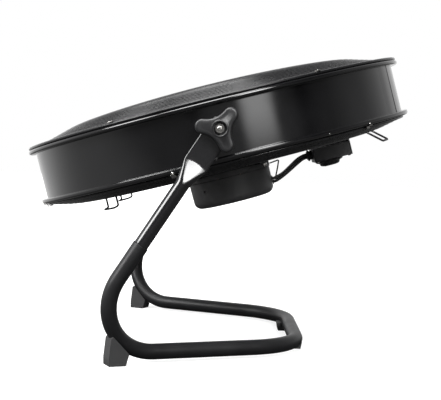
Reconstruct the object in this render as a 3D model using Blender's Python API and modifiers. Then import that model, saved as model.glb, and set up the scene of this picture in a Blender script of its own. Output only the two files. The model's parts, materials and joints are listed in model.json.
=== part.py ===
"""Drum-type axial air mover on a bent-tube stand.

Units are metres and +Z is up. The origin is on the floor below the tilt axis, which runs
along Y at PIVOT_HEIGHT. Left is the -Y side and right the +Y side. The drum is modelled
along its own axis (local +Z is the outlet) and hangs from an empty on the tilt axis, which
leans it back by TILT. The stand and everything on it is symmetric about the XZ plane.
"""

import math

import bmesh
import bpy
from mathutils import Matrix, Vector

MM = 0.001
GAP = 0.3 * MM

# Tilt axis and drum
PIVOT_HEIGHT = 370.2 * MM
TILT = math.radians(16.2)
SHELL_RADIUS = 324.8 * MM
SHELL_WALL = 1.5 * MM
RIM_RADIUS = 335.5 * MM
FRONT_RIM = 38.2 * MM
REAR_RIM = -42.0 * MM
RIM_HEIGHT = 7.8 * MM
DRUM_STEPS = 48
ARC_STEP = math.radians(10.5)

# Wire grilles, as centre lines of the wire
WIRE_RADIUS = 2.0 * MM
FRONT_DOME = (
    (333, 48.3),
    (304, 52.0),
    (282, 57.5),
    (246, 67.0),
    (190, 74.0),
    (128, 77.8),
    (68, 80.2),
    (30, 81.0),
)
REAR_DISH = (
    (334, -52.2),
    (310, -57.0),
    (286, -61.8),
    (246, -64.8),
    (190, -65.8),
    (134, -66.2),
    (78, -66.4),
)
WIDEST_RING_STEPS = 28
SPOKES = 6
FIRST_SPOKE = 33

# Clips on the rims and cord hooks on the rear grille, with angles in degrees round the drum
CLIPS = 6
FIRST_FRONT_CLIP = -119
FIRST_REAR_CLIP = -106
HOOK_ANGLE = 142
SLOPING_HOOK_ANGLE = -29

# Stand
LOWER_TUBE = 12.7 * MM
TUBE_WALL = 1.3 * MM
UPPER_TUBE = 11.5 * MM
SLIP_RADIUS = 10.7 * MM
ARM_PLANE = 341.4 * MM
ARM_LEAN = math.radians(31.9)
ARM_JOINT = 213.0 * MM
ARM_OVERLAP = 50.0 * MM
RAIL_HEIGHT = 17.3 * MM
RAIL_ANGLE = math.radians(24.07)
CROSS_TUBE_X = 147.0 * MM
BOW_RADIUS = 83.8 * MM
CORNER_RADIUS = 130.0 * MM
TAB_HALF_WIDTH = 18.0 * MM
TAB_HALF_THICKNESS = 2.0 * MM
REAR_FOOT_TURN = 0.57
REAR_FOOT_WIDTH = 27.0 * MM
FRONT_FOOT_AT = (142.0 * MM, 95.0 * MM)
FRONT_FOOT_LENGTH = 33.0 * MM

# Clamp at each end of the tilt axis, as distances from the middle plane
NUT_OUTER = 321.9 * MM
SPACER = (325.2 * MM, 339.0 * MM)
WASHER = (343.8 * MM, 345.3 * MM)
KNOB = (345.6 * MM, 363.5 * MM)
BOLT_HEAD = (356.1 * MM, 361.4 * MM)
BOLT_RADIUS = 4.0 * MM
HOLE_RADIUS = 4.6 * MM
KNOB_TURN = math.radians(54.5)
KNOB_LOBE_CENTRE = 26.5 * MM
KNOB_LOBE_RADIUS = 11.5 * MM
KNOB_WAIST = 18.5 * MM
KNOB_RECESS = 10.5 * MM

# Motor and fan, with heights along the drum axis
MOTOR_RADIUS = 74.0 * MM
MOTOR_SEAM = -82.0 * MM
MOTOR_END = -129.0 * MM
MOUNT_PLATE = (-68.8 * MM, -71.2 * MM)
SHAFT_RADIUS = 5.9 * MM
SHAFT_BORE = 6.25 * MM
STATOR = (-90.5 * MM, -114.0 * MM)
BEARING_FRONT = -74.4 * MM
BEARING_REAR = -116.6 * MM
BLADE_TIP = 305.0 * MM
BLADE_DISC = 62.0 * MM
BLADE_SHEET = 1.6 * MM
BLADE_COUNT = 3
BLADE_REACH = math.radians(42)
BLADE_HALF_DEPTH = (28 * MM, 37 * MM)
BLADE_CAMBER = 12 * MM
BLADE_HEIGHT = -6 * MM

# Control box behind the rear grille
BOX_NEAR = 154.0 * MM
BOX_FAR = 219.0 * MM
BOX_HALF_WIDTH = 36.0 * MM
BOX_LID = (-69.0 * MM, -71.0 * MM)
BOX_END = -96.5 * MM
BOX_WALL = 2.0 * MM
LEAD_RADIUS = 3.8 * MM
SPEED_KNOB_AT = 182.5 * MM
SPEED_KNOB_RADIUS = 21.5 * MM
SPEED_KNOB_END = -107.0 * MM
GLAND_HEIGHT = -82.0 * MM

SIDES = (("left", -1), ("right", 1))


# Scene and materials


def clear_scene():
    for obj in list(bpy.data.objects):
        bpy.data.objects.remove(obj, do_unlink=True)


def new_collection(name):
    collection = bpy.data.collections.new(name)
    bpy.context.scene.collection.children.link(collection)
    return collection


def new_material(name, colour, roughness, metallic):
    material = bpy.data.materials.new(name)
    material.use_nodes = True
    shader = material.node_tree.nodes["Principled BSDF"]
    shader.inputs["Base Color"].default_value = (*colour, 1)
    shader.inputs["Roughness"].default_value = roughness
    shader.inputs["Metallic"].default_value = metallic
    material.diffuse_color = (*colour, 1)
    return material


clear_scene()
PARTS = new_collection("axial_air_mover")
CUTTERS = new_collection("cutters")
CUTTERS.hide_render = True

BLACK_PAINT = new_material("black_paint", (0.018, 0.018, 0.019), 0.35, 0.0)
BLACK_WIRE = new_material("black_wire", (0.02, 0.02, 0.021), 0.4, 0.0)
BLACK_PLASTIC = new_material("black_plastic", (0.022, 0.022, 0.023), 0.5, 0.0)
BLACK_RUBBER = new_material("black_rubber", (0.02, 0.02, 0.02), 0.75, 0.0)
ZINC = new_material("zinc_plate", (0.72, 0.72, 0.7), 0.3, 1.0)
NYLON = new_material("nylon", (0.03, 0.03, 0.03), 0.6, 0.0)
ALUMINIUM = new_material("aluminium", (0.6, 0.61, 0.62), 0.38, 1.0)
LAMINATION = new_material("lamination_steel", (0.3, 0.3, 0.31), 0.5, 1.0)
COPPER = new_material("copper", (0.72, 0.33, 0.16), 0.35, 1.0)


# Objects


def place(obj, material, parent=None):
    """Give the object its material, its parent and its place in the parts collection."""
    for collection in list(obj.users_collection):
        collection.objects.unlink(obj)
    PARTS.objects.link(obj)
    if obj.type == "MESH":
        obj.data.materials.clear()
        obj.data.shade_smooth()
        obj.data.set_sharp_from_angle(angle=math.radians(35))
    obj.data.materials.append(material)
    if parent is not None:
        obj.parent = parent
    return obj


def as_cutter(obj, parent=None):
    for collection in list(obj.users_collection):
        collection.objects.unlink(obj)
    CUTTERS.objects.link(obj)
    obj.hide_render = True
    obj.display_type = "WIRE"
    if parent is not None:
        obj.parent = parent
    return obj


def mesh_object(name, mesh_builder):
    mesh = bpy.data.meshes.new(name)
    work = bmesh.new()
    mesh_builder(work)
    bmesh.ops.recalc_face_normals(work, faces=work.faces)
    work.to_mesh(mesh)
    work.free()
    obj = bpy.data.objects.new(name, mesh)
    bpy.context.scene.collection.objects.link(obj)
    return obj


def block(name, low, high):
    """Box between two corners."""
    low, high = Vector(low), Vector(high)

    def build(work):
        bmesh.ops.create_cube(work, size=1, matrix=Matrix.Translation((low + high) / 2))
        bmesh.ops.scale(
            work,
            vec=high - low,
            space=Matrix.Translation(-(low + high) / 2),
            verts=work.verts,
        )

    return mesh_object(name, build)


def rod(name, radius, bottom, top, sides=16, turn=0.0):
    """Cylinder on the Z axis, or a prism where it has few sides."""

    def build(work):
        matrix = Matrix.Translation((0, 0, (bottom + top) / 2)) @ Matrix.Rotation(turn, 4, "Z")
        bmesh.ops.create_cone(
            work, cap_ends=True, segments=sides, radius1=radius, radius2=radius,
            depth=top - bottom, matrix=matrix,
        )

    return mesh_object(name, build)


def turned(name, profile, steps=32):
    """Profile of (radius, height), run down its outer side, turned about Z.

    It is an open chain where it starts on the axis, and a closed loop otherwise."""
    closed = profile[0][0] > 0
    mesh = bpy.data.meshes.new(name)
    count = len(profile)
    edges = [(i, (i + 1) % count) for i in range(count if closed else count - 1)]
    mesh.from_pydata([(radius, 0, height) for radius, height in profile], edges, [])
    obj = bpy.data.objects.new(name, mesh)
    bpy.context.scene.collection.objects.link(obj)
    screw = obj.modifiers.new("turn", "SCREW")
    screw.steps = steps
    screw.render_steps = steps
    screw.use_merge_vertices = True
    screw.merge_threshold = 0.00001
    screw.use_smooth_shade = True
    return obj


def ring(name, inner, outer, bottom, top, steps=24):
    return turned(name, [(outer, top), (outer, bottom), (inner, bottom), (inner, top)], steps)


def tube_curve(name, points, radius, resolution=2, cyclic=False, caps=True):
    curve = bpy.data.curves.new(name, "CURVE")
    curve.dimensions = "3D"
    curve.bevel_depth = radius
    curve.bevel_resolution = resolution
    curve.use_fill_caps = caps
    spline = curve.splines.new("POLY")
    spline.points.add(len(points) - 1)
    for point, place_at in zip(spline.points, points):
        point.co = (*place_at, 1)
    spline.use_cyclic_u = cyclic
    obj = bpy.data.objects.new(name, curve)
    bpy.context.scene.collection.objects.link(obj)
    return obj


def plate(name, outline, thickness):
    """Flat outline of (x, y) points, extruded to half the thickness on each side of Z = 0."""
    curve = bpy.data.curves.new(name, "CURVE")
    curve.dimensions = "2D"
    curve.fill_mode = "BOTH"
    curve.extrude = thickness / 2
    spline = curve.splines.new("POLY")
    spline.points.add(len(outline) - 1)
    for point, (x, y) in zip(spline.points, outline):
        point.co = (x, y, 0, 1)
    spline.use_cyclic_u = True
    obj = bpy.data.objects.new(name, curve)
    bpy.context.scene.collection.objects.link(obj)
    return obj


def as_mesh(curve_object):
    """The curve's solid as a welded mesh object in the same place."""
    bpy.context.view_layer.update()
    evaluated = curve_object.evaluated_get(bpy.context.evaluated_depsgraph_get())
    mesh = bpy.data.meshes.new_from_object(evaluated)
    work = bmesh.new()
    work.from_mesh(mesh)
    bmesh.ops.remove_doubles(work, verts=work.verts, dist=0.00001)
    bmesh.ops.recalc_face_normals(work, faces=work.faces)
    work.to_mesh(mesh)
    work.free()
    name = curve_object.name
    obj = bpy.data.objects.new(name, mesh)
    obj.matrix_world = curve_object.matrix_world
    bpy.data.objects.remove(curve_object, do_unlink=True)
    obj.name = name
    bpy.context.scene.collection.objects.link(obj)
    return obj


def combine(obj, other, operation):
    boolean = obj.modifiers.new(other.name, "BOOLEAN")
    boolean.operation = operation
    boolean.object = other
    return obj


def cut(obj, cutter, parent=None):
    return combine(obj, as_cutter(cutter, parent), "DIFFERENCE")


def join(obj, other, parent=None):
    return combine(obj, as_cutter(other, parent), "UNION")


def empty(name, location, rotation=(0, 0, 0)):
    obj = bpy.data.objects.new(name, None)
    obj.location = location
    obj.rotation_euler = rotation
    PARTS.objects.link(obj)
    return obj


# Geometry shared by several pieces


def rounded_path(corners, radii):
    """Points along straight runs joined by arcs, and the first and last point of each arc."""
    points = [corners[0]]
    arcs = []
    for before, corner, after, radius in zip(corners, corners[1:], corners[2:], radii):
        to_before = (before - corner).normalized()
        to_after = (after - corner).normalized()
        half = to_before.angle(to_after) / 2
        centre = corner + (to_before + to_after).normalized() * radius / math.sin(half)
        start = corner + to_before * radius / math.tan(half)
        axis = (start - centre).cross(corner - centre).normalized()
        turn = math.pi - 2 * half
        count = math.ceil(turn / ARC_STEP)
        arm = start - centre
        arcs.append((len(points), len(points) + count))
        for i in range(count + 1):
            points.append(centre + Matrix.Rotation(turn * i / count, 3, axis) @ arm)
    points.append(corners[-1])
    return points, arcs


def arm_point(along, side):
    """Point on an arm's centre line, `along` metres below the tilt axis."""
    return Vector((
        -along * math.sin(ARM_LEAN),
        side * ARM_PLANE,
        PIVOT_HEIGHT - along * math.cos(ARM_LEAN),
    ))


def stand_corners():
    """Corners of the stand's centre line, from the left arm round to the right one."""
    left_end = arm_point(ARM_JOINT, -1)
    bow = arm_point((PIVOT_HEIGHT - RAIL_HEIGHT) / math.cos(ARM_LEAN), -1)
    inward = math.tan(RAIL_ANGLE) * (CROSS_TUBE_X - bow.x)
    cross = Vector((CROSS_TUBE_X, bow.y + inward, RAIL_HEIGHT))
    left = [left_end, bow, cross]
    return left + [Vector((p.x, -p.y, p.z)) for p in reversed(left)]


def stand_path():
    return rounded_path(stand_corners(), [BOW_RADIUS, CORNER_RADIUS, CORNER_RADIUS, BOW_RADIUS])


def along_arc(path, arc, fraction):
    """Point and direction at a fraction of the way round one arc of a path."""
    reached = arc[0] + (arc[1] - arc[0]) * fraction
    index = int(reached)
    part = reached - index
    return path[index].lerp(path[index + 1], part), (path[index + 1] - path[index]).normalized()


def circle_points(radius, height, steps):
    return [
        (radius * math.cos(math.tau * i / steps), radius * math.sin(math.tau * i / steps), height)
        for i in range(steps)
    ]


def on_drum(radius, angle, height, sideways=0.0):
    """Drum point at a radius and angle (degrees from +X), moved sideways round the rim."""
    turn = math.radians(angle)
    return Vector((
        radius * math.cos(turn) - sideways * math.sin(turn),
        radius * math.sin(turn) + sideways * math.cos(turn),
        height,
    ))


# Stand


def make_base_tube():
    path, arcs = stand_path()
    base = as_mesh(tube_curve("base_tube", path, LOWER_TUBE, resolution=4, caps=False))
    wall = base.modifiers.new("wall", "SOLIDIFY")
    wall.thickness = TUBE_WALL
    wall.offset = -1
    wall.use_even_offset = True
    place(base, BLACK_PAINT)
    return base, path, arcs


def make_foot(name, path, point, turn, outline, width):
    """Saddle foot under the tube, from an upright outline turned about Z and its width."""
    foot = as_mesh(plate(name, outline, width))
    stand_up = Matrix.Rotation(turn, 4, "Z") @ Matrix.Rotation(math.radians(90), 4, "X")
    foot.data.transform(Matrix.Translation((point.x, point.y, 0)) @ stand_up)
    cut(foot, as_mesh(tube_curve(name + "_saddle", path, LOWER_TUBE + 0.4 * MM, resolution=4)))
    return place(foot, BLACK_RUBBER)


def screw_foot(foot, base, point, direction):
    """Screw in a counterbore, up through the foot into the tube."""
    name = foot.name
    slope = Vector((direction.x, direction.y)).length
    underside = point.z - LOWER_TUBE / slope
    head_top = 8 * MM
    counterbore = rod(name + "_counterbore", 6 * MM, -1 * MM, head_top + GAP)
    shank_hole = rod(name + "_shank_hole", 2.6 * MM, 0, underside + 6 * MM, sides=12)
    tube_hole = rod(name + "_tube_hole", 2.6 * MM, 0, point.z, sides=12)
    for cutter, target in ((counterbore, foot), (shank_hole, foot), (tube_hole, base)):
        cutter.data.transform(Matrix.Translation((point.x, point.y, 0)))
        cut(target, cutter)
    screw = turned(
        name + "_screw",
        [
            (0, underside + 5 * MM),
            (2.1 * MM, underside + 5 * MM),
            (2.1 * MM, head_top),
            (4.6 * MM, head_top),
            (4.2 * MM, head_top - 1.6 * MM),
            (2.4 * MM, head_top - 2.2 * MM),
            (0, head_top - 2.4 * MM),
        ],
        steps=12,
    )
    screw.location = (point.x, point.y, 0)
    place(screw, ZINC)


def make_feet(base, path, arcs):
    """Tall feet under the bows, held by screws, and low ones that clip on the cross tube."""
    rear_outline = [
        (-15.5 * MM, 0),
        (12 * MM, 0),
        (17.5 * MM, 18 * MM),
        (15 * MM, 20.5 * MM),
        (-9.5 * MM, 46 * MM),
        (-13 * MM, 43 * MM),
        (-16 * MM, 12 * MM),
    ]
    front_outline = [
        (-14 * MM, 0),
        (14 * MM, 0),
        (16.5 * MM, 14.5 * MM),
        (-16.5 * MM, 14.5 * MM),
    ]
    for side_name, side in SIDES:
        mirror = Vector((1, -side, 1))
        rear, along_bow = along_arc(path, arcs[0], REAR_FOOT_TURN)
        turn = -side * RAIL_ANGLE
        name = f"rear_foot_{side_name}"
        foot = make_foot(name, path, rear * mirror, turn, rear_outline, REAR_FOOT_WIDTH)
        screw_foot(foot, base, rear * mirror, along_bow)
        front = Vector((FRONT_FOOT_AT[0], side * FRONT_FOOT_AT[1], 0))
        make_foot(f"front_foot_{side_name}", path, front, 0, front_outline, FRONT_FOOT_LENGTH)


def arm_section(work, along, half_width, half_thickness, squareness, count=12):
    """One ring of points round the arm, from a circle to a flat strip with rounded edges."""
    ring_points = []
    for i in range(count):
        turn = math.tau * i / count
        x, y = math.cos(turn), math.sin(turn)
        power = 2 / squareness
        ring_points.append(work.verts.new((
            math.copysign(abs(x) ** power, x) * half_width,
            math.copysign(abs(y) ** power, y) * half_thickness,
            -along,
        )))
    return ring_points


def make_arm(side_name, side):
    """Upper arm: a tube that slips into the base tube and is pressed flat at the tilt axis."""
    slip_end = ARM_JOINT + ARM_OVERLAP
    tube = UPPER_TUBE
    width, flat = TAB_HALF_WIDTH, TAB_HALF_THICKNESS
    sections = [
        (slip_end, SLIP_RADIUS, SLIP_RADIUS, 2),
        (ARM_JOINT + 2 * MM, SLIP_RADIUS, SLIP_RADIUS, 2),
        (ARM_JOINT - 1 * MM, tube, tube, 2),
        (152 * MM, tube, tube, 2),
        (130 * MM, 12.3 * MM, 11.4 * MM, 2),
        (108 * MM, 14.2 * MM, 11.0 * MM, 2.1),
        (92 * MM, 15.9 * MM, 9.8 * MM, 2.3),
        (80 * MM, 17.0 * MM, 7.0 * MM, 2.8),
        (71 * MM, 17.7 * MM, 3.6 * MM, 4),
        (62 * MM, width, flat, 6),
    ]
    for degrees in (0, 30, 55, 75):
        turn = math.radians(degrees)
        sections.append((-width * math.sin(turn), width * math.cos(turn), flat, 6))

    def build(work):
        rings = [arm_section(work, *section) for section in sections]
        for lower, upper in zip(rings, rings[1:]):
            for i in range(len(lower)):
                j = (i + 1) % len(lower)
                work.faces.new((lower[i], lower[j], upper[j], upper[i]))
        work.faces.new(rings[0])
        work.faces.new(rings[-1])

    arm = mesh_object(f"upper_arm_{side_name}", build)
    arm.location = (0, side * ARM_PLANE, PIVOT_HEIGHT)
    arm.rotation_euler = (0, ARM_LEAN, 0)
    hole = rod(arm.name + "_hole", HOLE_RADIUS, -10 * MM, 10 * MM)
    hole.location = arm.location
    hole.rotation_euler = (math.radians(90), 0, 0)
    cut(arm, hole)
    place(arm, BLACK_PAINT)
    return arm


def make_arm_screw(side_name, side, base, arm):
    """Screw from the inner side that holds the upper arm in the base tube."""
    along = ARM_JOINT + 22 * MM
    centre = arm_point(along, side)
    holder = empty(f"arm_screw_axis_{side_name}", centre, (side * math.radians(90), 0, 0))
    for target in (base, arm):
        hole = rod(f"{target.name}_screw_hole_{side_name}", 2.6 * MM, 0, 20 * MM, sides=12)
        cut(target, hole, holder)
    screw = turned(
        f"arm_screw_{side_name}",
        [
            (0, 15.6 * MM),
            (3.0 * MM, 15.2 * MM),
            (4.6 * MM, 13.0 * MM),
            (2.1 * MM, 13.0 * MM),
            (2.1 * MM, 3 * MM),
            (0, 3 * MM),
        ],
        steps=12,
    )
    place(screw, ZINC, holder)


# Clamps on the tilt axis


def knob_outline(lobe_centre, lobe_radius, waist):
    """Three round lobes joined by hollow curves that touch the waist circle."""
    outline = []
    per_lobe = 8
    hollow = 5
    mid = math.radians(60)
    valley = Vector((math.cos(mid), math.sin(mid)))
    tip = Vector((lobe_centre, 0))
    # The hollow arc's centre is on the valley line, tangent to the waist and to the lobe.
    squared = lobe_centre**2 - (lobe_radius - waist) ** 2
    distance = squared / (2 * (tip.dot(valley) + lobe_radius - waist))
    radius = distance - waist
    centre = valley * distance
    touch = centre + (tip - centre).normalized() * radius
    touch_angle = math.atan2(touch.y, touch.x - lobe_centre)
    start = math.atan2(touch.y - centre.y, touch.x - centre.x)
    to_waist = math.atan2(-valley.y, -valley.x)
    sweep = 2 * ((to_waist - start + math.pi) % math.tau - math.pi)
    for lobe in range(3):
        turn = Matrix.Rotation(math.radians(120 * lobe), 2)
        for i in range(per_lobe + 1):
            angle = -touch_angle + 2 * touch_angle * i / per_lobe
            point = tip + Vector((math.cos(angle), math.sin(angle))) * lobe_radius
            outline.append(turn @ point)
        for i in range(1, hollow):
            angle = start + sweep * i / hollow
            point = centre + Vector((math.cos(angle), math.sin(angle))) * radius
            outline.append(turn @ point)
    return [(p.x, p.y) for p in outline]


def outward(side):
    """Rotation that points local +Z away from the middle plane and keeps local +Y up."""
    return (math.radians(90), 0, 0 if side < 0 else math.pi)


def make_clamp(side_name, side, shell):
    """Threaded knob, washer and spacer on the tilt axis, and the nut inside the shell."""
    axis = empty(f"clamp_axis_{side_name}", (0, 0, 0), outward(side))
    axis.location = (0, 0, PIVOT_HEIGHT)
    lobes = (KNOB[0] + 4.5 * MM, KNOB[1])
    body = plate(
        f"clamp_knob_{side_name}",
        knob_outline(KNOB_LOBE_CENTRE, KNOB_LOBE_RADIUS, KNOB_WAIST),
        lobes[1] - lobes[0],
    )
    knob = as_mesh(body)
    middle = (lobes[0] + lobes[1]) / 2
    knob.data.transform(
        Matrix.Translation((0, 0, middle)) @ Matrix.Rotation(KNOB_TURN, 4, "Z")
    )
    boss = rod(knob.name + "_boss", 15 * MM, KNOB[0], middle, sides=24)
    recess_floor = BOLT_HEAD[0] - GAP
    recess = rod(knob.name + "_recess", KNOB_RECESS, recess_floor, KNOB[1] + 1 * MM, sides=24)
    bore = rod(knob.name + "_bore", HOLE_RADIUS, KNOB[0] - 1 * MM, middle + 9 * MM)
    join(knob, boss, axis)
    cut(knob, recess, axis)
    cut(knob, bore, axis)
    place(knob, BLACK_PLASTIC, axis)

    bolt = rod(f"clamp_bolt_{side_name}", BOLT_RADIUS, 308 * MM, BOLT_HEAD[0] + 1 * MM)
    join(bolt, rod(bolt.name + "_head", 7.5 * MM, *BOLT_HEAD, sides=6), axis)
    place(bolt, ZINC, axis)

    washer = ring(f"clamp_washer_{side_name}", HOLE_RADIUS, 14 * MM, *WASHER)
    place(washer, ZINC, axis)

    spacer = ring(f"pivot_spacer_{side_name}", HOLE_RADIUS, 16 * MM, *SPACER)
    place(spacer, NYLON, axis)

    nut = turned(
        f"pivot_nut_{side_name}",
        [
            (12 * MM, NUT_OUTER),
            (12 * MM, NUT_OUTER - 2.2 * MM),
            (7.2 * MM, NUT_OUTER - 2.2 * MM),
            (7.2 * MM, NUT_OUTER - 8.5 * MM),
            (HOLE_RADIUS, NUT_OUTER - 8.5 * MM),
            (HOLE_RADIUS, NUT_OUTER),
        ],
        steps=18,
    )
    place(nut, ZINC, axis)
    cut(shell, rod(f"shell_hole_{side_name}", HOLE_RADIUS + 0.2 * MM, 310 * MM, 332 * MM), axis)


# Drum


def rim_profile(edge, sign):
    """Outer side of one rolled rim, from the side away from the middle towards the wall."""
    height = RIM_HEIGHT
    return [
        (SHELL_RADIUS + 3 * MM, edge + sign * height),
        (RIM_RADIUS - 3.2 * MM, edge + sign * height),
        (RIM_RADIUS, edge + sign * (height - 2.8 * MM)),
        (RIM_RADIUS, edge + sign * 2.8 * MM),
        (RIM_RADIUS - 3.2 * MM, edge),
        (SHELL_RADIUS + 1 * MM, edge - sign * 0.5 * MM),
        (SHELL_RADIUS, edge - sign * 2.5 * MM),
    ]


def make_shell(drum):
    inner = SHELL_RADIUS - SHELL_WALL
    profile = rim_profile(FRONT_RIM, 1)
    profile += list(reversed(rim_profile(REAR_RIM, -1)))
    profile += [(inner, REAR_RIM - RIM_HEIGHT + 2 * MM), (inner, FRONT_RIM + RIM_HEIGHT - 2 * MM)]
    shell = turned("drum_shell", profile, DRUM_STEPS)
    place(shell, BLACK_PAINT, drum)
    return shell


def make_grille(name, profile, inside, drum):
    """Round wires on a domed profile, on radial wires that lie a little inside them."""
    ring_work = bmesh.new()
    widest = profile[0][0]
    for radius, height in profile:
        steps = max(12, round(WIDEST_RING_STEPS * radius / widest))
        hoop = as_mesh(tube_curve(
            name + "_hoop", circle_points(radius * MM, height * MM, steps),
            WIRE_RADIUS, resolution=0, cyclic=True,
        ))
        ring_work.from_mesh(hoop.data)
        bpy.data.objects.remove(hoop, do_unlink=True)
    mesh = bpy.data.meshes.new(name)
    ring_work.to_mesh(mesh)
    ring_work.free()
    grille = bpy.data.objects.new(name, mesh)
    bpy.context.scene.collection.objects.link(grille)
    for i in range(SPOKES):
        angle = FIRST_SPOKE + 360 * i / SPOKES
        points = [on_drum(radius * MM, angle, height * MM + inside) for radius, height in profile]
        points[0].z -= inside
        spoke = as_mesh(tube_curve(f"{name}_spoke_{i}", points, WIRE_RADIUS * 0.9, resolution=0))
        join(grille, spoke, drum)
    place(grille, BLACK_WIRE, drum)
    return grille


def make_clip(name, angle, edge, grille_profile, sign, drum):
    """Sheet clip that sits on the rolled rim and hooks over the grille's outer wire."""
    sheet = 1.2 * MM
    inner_end = SHELL_RADIUS - 4 * MM
    wall = RIM_RADIUS - 8.6 * MM
    outer_end = RIM_RADIUS + 0.8 * MM
    low = edge + sign * (RIM_HEIGHT + GAP)
    high = grille_profile[0][1] * MM + sign * (WIRE_RADIUS + 0.4 * MM)
    outline = [
        (inner_end, low),
        (wall + sheet, low),
        (wall + sheet, high),
        (outer_end, high),
        (outer_end, high + sign * sheet),
        (wall, high + sign * sheet),
        (wall, low + sign * sheet),
        (inner_end, low + sign * sheet),
    ]
    clip = as_mesh(plate(name, outline, 12 * MM))
    clip.data.transform(
        Matrix.Rotation(math.radians(angle), 4, "Z") @ Matrix.Rotation(math.radians(90), 4, "X")
    )
    place(clip, ZINC, drum)


def make_hook(name, angle, leg, drum):
    """U-shaped wire on the rear grille for winding the cord, with two legs of this profile."""
    half = 15.5 * MM
    points = [on_drum(radius, angle, height, half) for radius, height in leg]
    points += [on_drum(radius, angle, height, -half) for radius, height in reversed(leg)]
    hook = as_mesh(tube_curve(name, points, 1.9 * MM, resolution=1))
    place(hook, BLACK_WIRE, drum)


# Motor and fan


def make_motor(drum):
    radius = MOTOR_RADIUS
    plate_top, plate_bottom = MOUNT_PLATE
    flange = ring("motor_mount_plate", 24 * MM, 80 * MM, plate_bottom, plate_top, 32)
    place(flange, BLACK_PAINT, drum)

    front = plate_bottom - GAP
    seat = 16.4 * MM
    hub = 19.5 * MM
    shield = turned("motor_end_shield", [
        (radius + 1.2 * MM, front),
        (radius + 1.2 * MM, MOTOR_SEAM),
        (radius - 1.5 * MM, MOTOR_SEAM),
        (radius - 1.5 * MM, front - 3 * MM),
        (hub, front - 3 * MM),
        (hub, BEARING_FRONT - 10.5 * MM),
        (seat, BEARING_FRONT - 10.5 * MM),
        (seat, front - 2.4 * MM),
        (8 * MM, front - 2.4 * MM),
        (8 * MM, front),
    ])
    place(shield, BLACK_PAINT, drum)

    wall = 2 * MM
    floor = MOTOR_END + 2.2 * MM
    pot = turned("motor_pot", [
        (0, floor),
        (seat, floor),
        (seat, BEARING_REAR + 0.3 * MM),
        (hub, BEARING_REAR + 0.3 * MM),
        (hub, floor),
        (radius - 14 * MM, floor),
        (radius - 5 * MM, floor + 4 * MM),
        (radius - wall, floor + 12 * MM),
        (radius - wall, MOTOR_SEAM - GAP),
        (radius, MOTOR_SEAM - GAP),
        (radius, MOTOR_END + 12 * MM),
        (radius - 3.5 * MM, MOTOR_END + 3.5 * MM),
        (radius - 12 * MM, MOTOR_END),
        (0, MOTOR_END),
    ])
    place(pot, BLACK_PAINT, drum)

    place(ring("stator_core", 36 * MM, radius - 2.6 * MM, STATOR[1], STATOR[0]), LAMINATION, drum)
    for name, bottom, top in (
        ("stator_winding_front", STATOR[0] + GAP, STATOR[0] + 4.5 * MM),
        ("stator_winding_rear", STATOR[1] - 7 * MM, STATOR[1] - GAP),
    ):
        place(ring(name, 42 * MM, 60 * MM, bottom, top), COPPER, drum)
    place(ring("rotor_core", SHAFT_BORE, 35.3 * MM, STATOR[1], STATOR[0]), LAMINATION, drum)
    for name, top in (("bearing_front", BEARING_FRONT), ("bearing_rear", BEARING_REAR)):
        place(ring(name, SHAFT_BORE, 16 * MM, top - 9.8 * MM, top), ZINC, drum)
    place(rod("motor_shaft", SHAFT_RADIUS, -126 * MM, 8 * MM), ZINC, drum)


def blade_height(radius, angle_from_middle):
    """Height of the pressed sheet: flat at the disc, pitched and a little hollow beyond it."""
    out = (radius - BLADE_DISC) / (BLADE_TIP - BLADE_DISC)
    grown = min(1.0, out * 4)
    grown = grown * grown * (3 - 2 * grown)
    across = angle_from_middle / BLADE_REACH
    root_depth, tip_depth = BLADE_HALF_DEPTH
    depth = root_depth + (tip_depth - root_depth) * out
    return grown * (across * depth + BLADE_CAMBER * (1 - across**2))


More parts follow.
